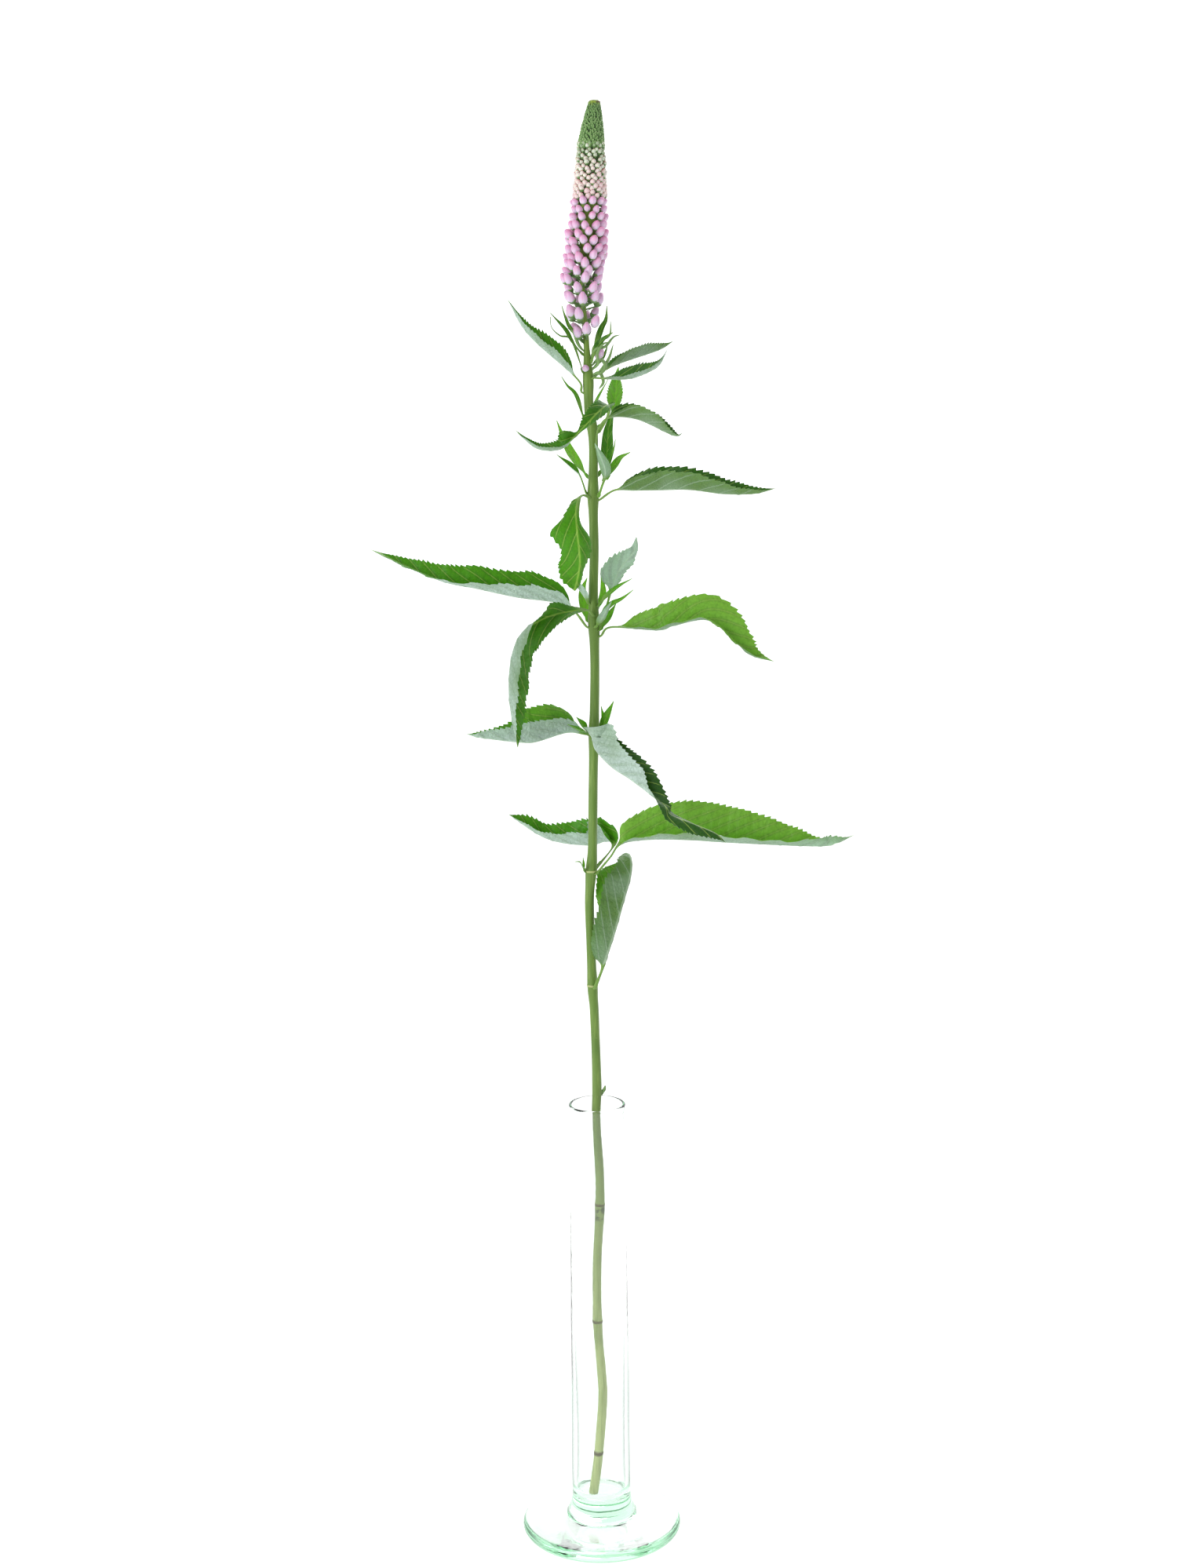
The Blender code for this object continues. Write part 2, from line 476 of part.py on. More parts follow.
def lance_blade(width, stalk, fold):
    """Blade rows of a leaflet: a bare stalk, widest a little below the middle, running out to a point."""
    rows = []
    for place in np.linspace(0, 1, 7):
        half = max(width / 2 * math.sin(math.pi * place**0.66) ** 1.1, 0.15)
        rows.append((stalk + (1 - stalk) * place, half if place else min(0.6, width * 0.2), fold, half, fold))
    rows[0] = (rows[0][0], min(0.6, width * 0.2), fold, min(0.6, width * 0.2), fold)
    return rows


def blade_halves(rows, share):
    """(half width, lift in radians) of both halves of a blade at each share of its length."""
    rows = np.asarray(rows, float)
    rows = spline(np.vstack([[0, *rows[0, 1:]], rows]), 12)
    place = np.maximum.accumulate(rows[:, 0])
    a_half, a_lift, b_half, b_lift = (np.interp(share, place, rows[:, column]) for column in range(1, 5))
    floor = TIP_HALF_WIDTH + (PETIOLE_HALF_WIDTH - TIP_HALF_WIDTH) * (share < 0.06)
    return (np.maximum(a_half, floor), np.radians(a_lift), np.maximum(b_half, floor), np.radians(b_lift))


def leaf_sections(seat, route, faces, blade, steps):
    """Midrib points and both margins of a folded leaf, one row per step from its seat to its tip."""
    share = np.linspace(0, 1, steps + 1)
    rib = even_steps(spline([seat_point(seat), *route]), steps + 1)
    forward = np.gradient(rib, axis=0)
    forward /= np.linalg.norm(forward, axis=1)[:, None]
    up = along(faces, share)
    up -= np.sum(up * forward, axis=1)[:, None] * forward
    up /= np.linalg.norm(up, axis=1)[:, None]
    side = np.cross(forward, up)
    a_half, a_lift, b_half, b_lift = (values[:, None] for values in blade_halves(blade, share))
    a_margin = rib + a_half * (np.cos(a_lift) * side + np.sin(a_lift) * up)
    b_margin = rib + b_half * (-np.cos(b_lift) * side + np.sin(b_lift) * up)
    return b_margin, rib, a_margin


def build_leaf(name, seat, route, faces, blade, steps, material, collection):
    """A folded sheet laid through the leaf's sections and thickened."""
    sections = np.stack(leaf_sections(seat, route, faces, blade, steps))
    bm = bmesh.new()
    bmesh.ops.create_grid(bm, x_segments=steps, y_segments=2, size=0.5)
    for vert in bm.verts:
        row = round((vert.co.x + 0.5) * steps)
        column = round((vert.co.y + 0.5) * 2)
        vert.co = Vector(sections[column, row])
    leaf = add_mesh(name, bm, collection, material)
    solidify = leaf.modifiers.new("thickness", "SOLIDIFY")
    solidify.thickness = BLADE_THICKNESS * MM
    solidify.offset = 0
    return leaf


def build_leaves(collection):
    for name, leaf in LEAVES.items():
        build_leaf(name, *leaf, LEAF_STEPS, "leaf_green", collection)
    for name, leaflet in LEAFLETS.items():
        blade = lance_blade(leaflet.width, leaflet.stalk, leaflet.fold)
        build_leaf(name, leaflet.seat, leaflet.route, [leaflet.face], blade, LEAFLET_STEPS,
                   "young_leaf_green", collection)


def build_bud(name, whorl, number, collection):
    """One bud of a whorl: a small egg that leans out and up from the spike's axis."""
    step = whorl.turn / (whorl.buds if whorl.turn == 360 else whorl.buds - 1)
    direction = math.radians(whorl.start + step * number)
    outward = Vector((math.cos(direction), math.sin(direction), 0))
    tilt = math.radians(BUD_TILT)
    size = min(1, whorl.reach / FULL_SIZE_REACH)
    half_reach = BUD_LENGTH / 2 * math.sin(tilt) + BUD_WIDTH / 2 * math.cos(tilt) * 0.35
    center = Vector(stem_center(whorl.height)) + outward * (whorl.reach - half_reach * size)
    axis = outward * math.sin(tilt) + Vector((0, 0, math.cos(tilt)))
    bm = bmesh.new()
    bmesh.ops.create_uvsphere(bm, u_segments=6, v_segments=4, radius=0.5)
    bmesh.ops.scale(bm, vec=Vector((BUD_WIDTH, BUD_WIDTH, BUD_LENGTH)) * size, verts=bm.verts)
    turn = Vector((0, 0, 1)).rotation_difference(axis).to_matrix().to_4x4()
    bmesh.ops.transform(bm, matrix=Matrix.Translation(center) @ turn, verts=bm.verts)
    bud = add_mesh(name, bm, collection)
    bud.hide_render = True
    bud.display_type = "WIRE"
    return bud


def build_whorl(name, whorl, collection, helpers):
    """A collar round the spike's axis, joined with its ring of buds into one solid."""
    buds = bpy.data.collections.new(f"{name}_buds")
    helpers.children.link(buds)
    for number in range(whorl.buds):
        build_bud(f"{name}_bud_{number + 1}", whorl, number, buds)
    bm = bmesh.new()
    middle = stem_center(whorl.height - COLLAR_DROP)
    size = min(1, whorl.reach / FULL_SIZE_REACH)
    bore = stem_radius(whorl.height) + GAP + 0.25
    bmesh.ops.create_cone(bm, cap_ends=False, segments=10, radius1=bore, radius2=bore, depth=COLLAR_HEIGHT)
    bmesh.ops.translate(bm, vec=Vector(middle), verts=bm.verts)
    collar = add_mesh(name, bm, collection, "petal_pink")
    solidify = collar.modifiers.new("wall", "SOLIDIFY")
    solidify.thickness = (whorl.reach - COLLAR_SETBACK * size - bore) * MM
    solidify.offset = 1
    union = collar.modifiers.new("join_buds", "BOOLEAN")
    union.operation = "UNION"
    union.solver = "EXACT"
    union.operand_type = "COLLECTION"
    union.collection = buds
    return collar


def build_pale_band(collection):
    """A studded ring of small closed buds: a grid wrapped both round the axis and round its section."""
    around, through = 20, 10
    bm = bmesh.new()
    bmesh.ops.create_grid(bm, x_segments=around, y_segments=through, size=0.5)
    height = PALE_BAND_TOP - PALE_BAND_BOTTOM
    for vert in bm.verts:
        turn = (vert.co.x + 0.5) * 2 * math.pi
        section = (vert.co.y + 0.5) * 2 * math.pi
        share = 1 - abs(section / math.pi - 1)
        level = PALE_BAND_BOTTOM + height * share
        outer = PALE_BAND_RADIUS + (PALE_BAND_TOP_RADIUS - PALE_BAND_RADIUS) * share
        inner = stem_radius(level) + GAP + 0.15
        stud = 0.45 * math.cos(6 * turn + 6 * math.pi * share) * math.sin(math.pi * share)
        radius = outer + stud if 0.5 < section < 2.7 else inner
        center = stem_center(min(level, STEM_ROUTE[-1][2]))
        vert.co = (center[0] + radius * math.cos(turn), center[1] + radius * math.sin(turn), level)
    bmesh.ops.remove_doubles(bm, verts=bm.verts, dist=0.001)
    bmesh.ops.recalc_face_normals(bm, faces=bm.faces)
    return add_mesh("pale_bud_band", bm, collection, "pale_bud_cream")


def build_spike_tip(collection):
    """The tight green top of the spike: a sphere's grid drawn out into a scaly cone with a cut-off top."""
    bm = bmesh.new()
    bmesh.ops.create_uvsphere(bm, u_segments=14, v_segments=SPIKE_TIP_RINGS, radius=1)
    base = stem_center(STEM_ROUTE[-1][2])
    height = SPIKE_TOP - SPIKE_TIP_BOTTOM
    for vert in bm.verts:
        turn = math.atan2(vert.co.y, vert.co.x)
        share = math.acos(max(-1, min(1, -vert.co.z))) / math.pi
        outer = SPIKE_TIP_RADIUS + (SPIKE_TOP_RADIUS - SPIKE_TIP_RADIUS) * share**1.6
        rounding = min(1, math.sin(math.pi * share) / math.sin(math.pi / SPIKE_TIP_RINGS))
        scale = 0.3 * math.cos(5 * turn + 8 * math.pi * share) * math.sin(math.pi * share)
        radius = (outer + scale) * rounding
        level = SPIKE_TIP_BOTTOM + height * min(max((share * SPIKE_TIP_RINGS - 1) / (SPIKE_TIP_RINGS - 2), 0), 1)
        vert.co = (base[0] + SPIKE_TIP_LEAN * share + radius * math.cos(turn), base[1] + radius * math.sin(turn), level)
    bmesh.ops.recalc_face_normals(bm, faces=bm.faces)
    return add_mesh("spike_tip", bm, collection, "bud_scale_green")


def main():
    clear_scene()
    collection = new_collection("speedwell_in_vase")
    helpers = new_collection("helpers")
    helpers.hide_render = True
    build_vase(collection)
    build_stem(collection)
    build_leaves(collection)
    for name, whorl in PINK_WHORLS.items():
        build_whorl(name, whorl, collection, helpers)
    build_pale_band(collection)
    build_spike_tip(collection)


main()
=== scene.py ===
"""A cut speedwell flower spike in a footed glass tube vase: its surfaces, finishes and studio.

The file is laid out as an add-on and is run as a script. Shapes are worked out in millimetres, and MM
turns them into metres where a mesh is filled. The vase's axis is +Z and -Y is the side that faces the viewer.
"""

import math
from collections import namedtuple

import bpy
import numpy as np
from bpy.props import FloatProperty, FloatVectorProperty, IntProperty, PointerProperty
from mathutils import Matrix, Vector


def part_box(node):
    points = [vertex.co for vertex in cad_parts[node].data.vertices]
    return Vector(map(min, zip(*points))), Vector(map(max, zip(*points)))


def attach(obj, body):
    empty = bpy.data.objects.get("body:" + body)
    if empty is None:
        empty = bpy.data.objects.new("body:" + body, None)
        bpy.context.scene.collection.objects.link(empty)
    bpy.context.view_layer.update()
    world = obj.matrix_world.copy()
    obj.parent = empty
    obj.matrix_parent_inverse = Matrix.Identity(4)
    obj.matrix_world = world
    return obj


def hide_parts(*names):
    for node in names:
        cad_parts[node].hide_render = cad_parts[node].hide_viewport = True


bl_info = {
    "name": "Speedwell in a glass vase",
    "version": (1, 0, 0),
    "blender": (4, 5, 0),
    "location": "3D View > Sidebar > Speedwell",
    "description": "Builds a cut speedwell flower spike that stands in a footed glass tube vase",
    "category": "Object",
}

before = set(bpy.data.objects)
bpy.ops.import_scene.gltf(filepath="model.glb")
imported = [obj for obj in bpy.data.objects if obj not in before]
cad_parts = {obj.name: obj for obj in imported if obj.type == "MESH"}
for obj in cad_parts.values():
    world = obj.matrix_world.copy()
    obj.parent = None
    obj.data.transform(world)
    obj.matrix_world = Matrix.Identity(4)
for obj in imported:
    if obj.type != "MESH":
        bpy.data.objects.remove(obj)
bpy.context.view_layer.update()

MM = 0.001
UPRIGHT = np.array([0.0, 0.0, 1.0])
BODY = "root"
SEED = 7


def tint(red, green, blue):
    """A display colour, 0 to 255 a channel, as the linear colour that shaders take."""
    return tuple(c / 12.92 if c <= 0.04045 else ((c + 0.055) / 1.055) ** 2.4
                 for c in (red / 255, green / 255, blue / 255))


def node_box(node):
    """Lowest and highest corners of a CAD node, in millimetres."""
    low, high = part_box(node)
    return np.array(low) / MM, np.array(high) / MM


# The build, in millimetres

FLOOR_CORNER = 5.5  # radius between the bore and the inner floor

# The stem's centre, from the cut end on the vase floor to the top of the spike's axis
STEM_ROUTE = [
    (-3.9, -3.9, 17.2), (-1.2, -2.6, 36), (1.1, -0.9, 60.6), (0.9, 0, 72.7), (-0.8, 1.6, 97.1),
    (-0.8, 3.5, 123.6), (0.7, 5.2, 148.4), (0.8, 6.4, 165.3), (-0.4, 8, 188.9), (0.1, 9.3, 206.7),
    (-0.6, 11.4, 237.6), (-1.2, 12.1, 247.8), (-1.9, 13.8, 271.4), (-2.2, 15, 288.3), (-1.4, 15.8, 300.5),
    (-0.6, 16.6, 311.7), (0, 18.4, 338.1), (0.7, 20.2, 363.3), (1.4, 22.1, 390.9), (1.1, 24.2, 421.3),
    (1.7, 25.7, 441.8), (1.5, 27.2, 464.5), (1.9, 29, 489.5), (0.2, 29.9, 503), (0, 30.8, 515.7),
    (-0.7, 32, 532.5), (-2.1, 33.4, 553.5), (-0.3, 34.3, 566.4), (0.3, 34.9, 575), (1.2, 35.7, 586.2),
    (2.4, 37.6, 613.8),
]
STEM_LOW, STEM_TOP = STEM_ROUTE[0][2], STEM_ROUTE[-1][2]
STEM_RADIUS = 2.0
NODE_SWELLING = [(98, 0.2), (151, 0.25), (205, 0.2), (250.5, 0.4), (301.5, 0.5), (362, 0.45),
                 (410, 0.6), (465.5, 0.55), (497, 0.4), (514, 0.4)]  # height, extra radius
NODE_SPREAD = 6.0
RACHIS_START, RACHIS_RADIUS, RACHIS_TIP_RADIUS = 524.5, 1.35, 0.9
SCARS = [(37, 0.22, 0.8), (98, 0.28, 0.6), (151.5, 0.12, 0.5), (250.5, 0.2, 0.5),
         (301.5, 0.25, 0.5)]  # old leaf rings: height, extra radius, spread
SCAR_ROWS, SCAR_REACH = 13, 2.5  # extra sections at a ring, and how many spreads they cover each way
BRUISE_HEIGHT = 0.1478  # metres

SEAT_GAP = 0.7  # how far from the stem's surface a leaf's first section lies
ROOT_ROWS, ROOT_DEPTH = 4, 1.5  # sections of the stalk inside what carries it, and how deep they start
PETIOLE_HALF_WIDTH, PETIOLE_END = 0.8, 0.06  # least half width, up to this share of the length
TIP_HALF_WIDTH = 0.09
FULL_SIZE = 8.0  # half width from which a leaf has its waves, veins and thickness in full
VEIN_SLANT, VEIN_BEND = 1.75, 0.3  # how far a side vein leans to the tip for each mm outwards
TOOTH_BACK, TOOTH_FRONT = 0.78, 0.22  # shares of a tooth that slope up to its point and down from it
# How far from the midrib to the margin the columns of a leaf lie
BLADE_SHARES = np.array([0, 0.04, 0.09, 0.16, 0.26, 0.38, 0.52, 0.66, 0.8, 0.92, 1.0])
YOUNG_SHARES = np.array([0, 0.1, 0.25, 0.45, 0.7, 0.88, 1.0])
TOOTHED_WIDTH = 8  # small leaves broader than this have teeth

# A leaf starts on the stem at seat = (height, direction in degrees) or at a point on another stalk, and its
# midrib runs through the route. faces are the directions its upper side looks in, spread evenly along it.
# A blade row is (share of the length, half width and lift in degrees on one side, the same on the other).
# fresh is the green of the upper side and under of the underside, from a deep blue green or grey (0) to a bright
# yellow green (1). Besides each leaf's own green they hold painted light and shade: a leaf in shade has a lower
# fresh, and an underside that catches the light a lower under, which makes it paler.
Leaf = namedtuple("Leaf", "seat fresh under faces route blade")
# A leaflet is a narrow lance shape: stalk is the bare share of its length, fold the lift of both halves.
Leaflet = namedtuple("Leaflet", "seat width stalk face fold fresh route")

FACE_UP = [(0, 0, 1)]
LEAVES = {
    "top_leaf_left": Leaf((510, 185), 0.42, 0.45,
        [(0.75, 0, 0.65)],
        [(-5, 28, 516), (-25, 21, 534), (-34, 21, 549)],
        [(0.14, 0.8, 20, 0.8, 20), (0.24, 4, 75, 3.5, 35), (0.38, 6.5, 78, 5.5, 38), (0.55, 6, 78, 5, 38),
         (0.78, 3, 75, 3, 35), (1, 0.2, 70, 0.2, 30)]),
    "top_leaf_back": Leaf((517, 35), 0.3, 1.0, FACE_UP,
        [(13, 41, 522), (31, 51, 528), (38, 54, 532)],
        [(0.15, 0.8, 40, 0.8, 40), (0.3, 3.2, 70, 3.4, 60), (0.52, 5.2, 75, 4.8, 60), (0.72, 4.8, 72, 4.4, 60),
         (0.87, 2.6, 70, 2.4, 60), (1, 0.2, 40, 0.2, 40)]),
    "top_leaf_right": Leaf((516, 325), 0.1, 0.55, FACE_UP,
        [(16, 15, 515), (24, 9, 517), (30, 6, 520.5), (33.5, 5, 527)],
        [(0.12, 0.8, 20, 0.8, 30), (0.3, 3, 20, 4, 75), (0.5, 3.8, 20, 6, 78), (0.7, 3.4, 20, 4.6, 78),
         (0.88, 1.6, 20, 1.8, 75), (1, 0.2, 20, 0.2, 40)]),
    "upper_leaf_right": Leaf((487, 290), 0.15, 0.95,
        [(-0.8, -0.4, 0.3), (-0.6, -0.3, 0.8), (0, 0, 1), (0.2, 0, 1), (0.2, 0, 1), (0.1, 0, 1)],
        [(4, 22, 494), (9, 18, 499), (21, 16, 498), (36, 11, 491), (40, 10, 492)],
        [(0.28, 0.8, 20, 0.8, 20), (0.38, 3, 45, 5, 75), (0.5, 6.2, 62, 6.2, 80), (0.65, 6.8, 66, 5.6, 80),
         (0.82, 4.2, 62, 4, 78), (1, 0.2, 30, 0.2, 40)]),
    "upper_leaf_curled": Leaf((493, 5), 0.3, 0.5,
        [(-0.5, -0.6, 0.5), (-0.2, -0.9, 0.6), (0, -1, 0.6), (0, -0.4, 1), (0, 0, 1), (0.2, 0, 1)],
        [(8, 26, 499), (9, 20, 504), (5, 9, 502), (-6, 1, 491), (-12, 0, 486), (-21, 0, 486), (-27, 1, 490),
         (-31, 3, 494)],
        [(0.12, 0.8, 20, 0.8, 20), (0.22, 2.6, 25, 2.6, 25), (0.35, 4.2, 25, 3.6, 25), (0.47, 3.4, 30, 3, 30),
         (0.565, 1, 40, 1, 40), (0.6, 3.5, 70, 2.5, 40), (0.635, 6, 80, 3, 40), (0.7, 4.4, 72, 2.8, 40),
         (0.82, 3.2, 72, 2.4, 42), (0.92, 1.6, 72, 1.4, 45), (1, 0.2, 70, 0.2, 40)]),
    "middle_leaf_left": Leaf((465, 232), 0.55, 0.5,
        [(-0.3, -0.3, 1), (-0.4, -0.8, 0.4), (-0.3, -0.9, 0.1), (-0.3, -0.9, 0), (-0.3, -0.9, 0.1)],
        [(-3, 21, 466), (-5, 16, 464), (-6, 11, 459), (-5.5, 8, 450), (-4.6, 10, 437), (-7, 17, 425)],
        [(0.14, 0.8, 20, 0.8, 20), (0.2, 2.2, 30, 1.2, -40), (0.28, 3.4, 30, 1.5, -70),
         (0.38, 6.8, 28, 2.4, -80), (0.46, 11.4, 20, 4.8, -76), (0.53, 10, 15, 7.2, -66),
         (0.6, 8, 12, 7.8, -62), (0.68, 8.2, 12, 6, -66), (0.77, 9.4, 15, 3.6, -76), (0.86, 8.6, 15, 2.6, -76),
         (0.94, 5.6, 18, 1.6, -60), (1, 0.2, 20, 0.2, -30)]),
    "middle_leaf_right": Leaf((464, 350), 0.15, 1.0, FACE_UP,
        [(11, 24, 468), (19, 22, 468), (29, 21, 468), (43, 18, 468), (58, 17, 466), (71, 16, 466),
         (80, 15, 468)],
        [(0.11, 0.8, 30, 0.8, 40), (0.17, 4, 60, 5, 80), (0.28, 8, 66, 9, 88), (0.42, 9, 68, 10, 88),
         (0.62, 7.5, 60, 8.2, 84), (0.85, 3.4, 45, 4, 80), (1, 0.2, 45, 0.2, 70)]),
    "lower_leaf_left": Leaf((409, 195), 0.45, 0.3, FACE_UP,
        [(-11, 19, 419), (-32, 15, 423), (-49, 13, 427), (-66, 13, 431), (-95, 17, 444)],
        [(0.1, 0.8, 30, 0.8, 30), (0.13, 4, 74, 3, 40), (0.17, 8, 78, 6, 48), (0.23, 10.6, 80, 8, 48),
         (0.3, 12, 80, 9, 46), (0.42, 10.3, 82, 8, 38), (0.56, 9.4, 84, 7, 18), (0.74, 6, 80, 6, 6),
         (0.88, 2.7, 75, 3.6, 2), (1, 0.2, 40, 0.2, 0)]),
    "lower_leaf_front": Leaf((414, 270), 0.3, 0.5,
        [(0, -0.4, 0.9), (0.2, -0.6, 0.75), (0.75, -0.55, 0.4), (0.88, -0.48, 0.1), (0.9, -0.4, 0),
         (0.9, -0.4, 0), (0.9, -0.4, 0)],
        [(-3, 14, 417), (-18, 5, 415), (-29, -2, 409), (-34, -5, 398), (-35, -8, 381), (-32, -8, 360.5)],
        [(0.08, 0.8, 20, 0.8, 20), (0.16, 3, 20, 3, 20), (0.23, 5, 45, 5, 25), (0.31, 7.4, 74, 6.6, 25),
         (0.42, 7.4, 78, 9, 24), (0.55, 6.8, 74, 10.8, 24), (0.72, 6.5, 70, 11, 24), (0.88, 3.5, 60, 6.2, 26),
         (1, 0.2, 50, 0.2, 30)]),
    "lower_leaf_right": Leaf((405, 345), 1.0, 0.8, FACE_UP,
        [(9, 20, 409), (29, 15, 408), (36, 14, 410), (51, 13, 412), (63, 10, 402), (69, 9, 397), (79, 9, 394)],
        [(0.12, 0.8, 10, 0.8, 40), (0.2, 4, 12, 6.5, 78), (0.33, 7.5, 12, 10.3, 82), (0.42, 7.5, 12, 10.5, 84),
         (0.52, 8, 10, 11, 84), (0.64, 8, 8, 10.8, 80), (0.8, 5, 12, 7.2, 78), (0.92, 2.2, 20, 3, 70),
         (1, 0.2, 20, 0.2, 40)]),
    "base_leaf_left": Leaf((362, 190), 0.7, 0.35, FACE_UP,
        [(-11, 13, 364), (-24, 7, 361), (-31, 5, 361), (-48, -1, 364), (-54, -4, 366)],
        [(0.07, 0.8, 40, 0.8, 50), (0.12, 7, 70, 4, 78), (0.2, 12, 72, 6.4, 82), (0.27, 14.2, 74, 8, 84),
         (0.48, 15.2, 72, 9.6, 84), (0.6, 10.6, 68, 8.4, 80), (0.72, 6.6, 62, 6, 78), (0.88, 3.4, 52, 3.4, 70),
         (1, 0.2, 30, 0.2, 40)]),
    "base_leaf_right": Leaf((361, 300), 0.0, 0.32,
        [(0.1, 0, 1), (0.45, 0, 0.9), (0.6, 0, 0.8), (0.7, 0, 0.7), (0.6, 0, 0.8), (0.3, 0, 0.9)],
        [(1, 14, 357), (8, 5, 350), (17, -4, 345), (30, -15, 336), (33, -16, 332), (43, -18, 328),
         (52, -19, 324), (56, -18, 320)],
        [(0.01, 0.8, 60, 0.8, 60), (0.025, 9.5, 84, 4, 80), (0.05, 14.5, 88, 7.5, 82),
         (0.09, 15.5, 86, 9.6, 84), (0.14, 13.8, 84, 10.8, 86), (0.2, 11.6, 81, 11, 85),
         (0.28, 9.8, 78, 11, 84), (0.42, 7, 76, 9.5, 84), (0.54, 3.4, 20, 6, 75), (0.64, 3.6, -45, 3, 40),
         (0.8, 4.8, -68, 3.2, -10), (0.92, 3, -62, 2, -10), (1, 0.3, -50, 0.2, -10)]),
    "foot_leaf_left": Leaf((302, 50), 0.55, 0.35,
        [(-0.4, -0.5, 0.7), (-0.15, -0.8, 0.4), (0, -0.2, 1), (0, 0, 1), (0, 0, 1), (0, 0, 1)],
        [(9, 28, 311), (5, 36, 311), (-3, 38, 309), (-21, 39, 312), (-38, 34, 324)],
        [(0.2, 0.8, 40, 0.8, 40), (0.25, 6, 60, 10, 86), (0.31, 10.5, 74, 13.4, 88), (0.38, 11.4, 78, 11.6, 78),
         (0.46, 12, 82, 9.5, 58), (0.6, 9.5, 80, 7.5, 52), (0.74, 6.5, 74, 5, 35), (0.88, 5, 80, 3, 20),
         (1, 0.2, 70, 0.2, 20)]),
    "foot_leaf_right": Leaf((301, 325), 1.0, 0.6,
        [(-0.3, -0.3, 0.9), (0, 0, 1), (0, 0, 1), (0, 0, 1)],
        [(7, 9, 309), (12, 9, 315), (24, 8, 317), (42, 6, 317), (59, 4, 316), (96, -2, 315), (105, -5, 317),
         (112, -5, 320)],
        [(0.14, 0.8, 20, 0.8, 50), (0.18, 6, 24, 8.5, 84), (0.28, 12, 22, 14.5, 82), (0.42, 14, 22, 17.2, 82),
         (0.6, 12, 22, 14.5, 80), (0.76, 8.6, 24, 8.8, 76), (0.83, 6.8, 38, 5.6, 70), (0.88, 5.6, 60, 3.6, 60),
         (0.93, 4, 76, 2, 50), (1, 0.2, 60, 0.2, 50)]),
    "lowest_leaf": Leaf((250, 290), 0.7, 0.84,
        [(-0.1, 0.95, 0.2), (-0.1, 0.95, 0.1), (-0.1, 0.95, 0), (-0.1, 0.9, -0.3), (-0.1, 0.5, -0.8),
         (0, 0.1, -1)],
        [(4, 7, 262), (8.5, 9, 275), (12.5, 11.5, 288), (16, 16.5, 299), (16.4, 22, 305.5), (15, 29, 306.5),
         (13, 36, 304)],
        [(0.14, 0.8, 20, 0.8, 90), (0.18, 5.4, 16, 2.4, 120), (0.24, 8, 12, 4, 140), (0.33, 9.6, 8, 7, 150),
         (0.44, 9.6, 6, 10.4, 160), (0.54, 10, 6, 14, 163), (0.64, 10.4, 8, 16, 164),
         (0.73, 7.6, 10, 15.6, 164), (0.82, 5.6, 14, 12, 160), (0.92, 3.4, 20, 6, 150),
         (1, 0.2, 20, 0.2, 120)]),
}
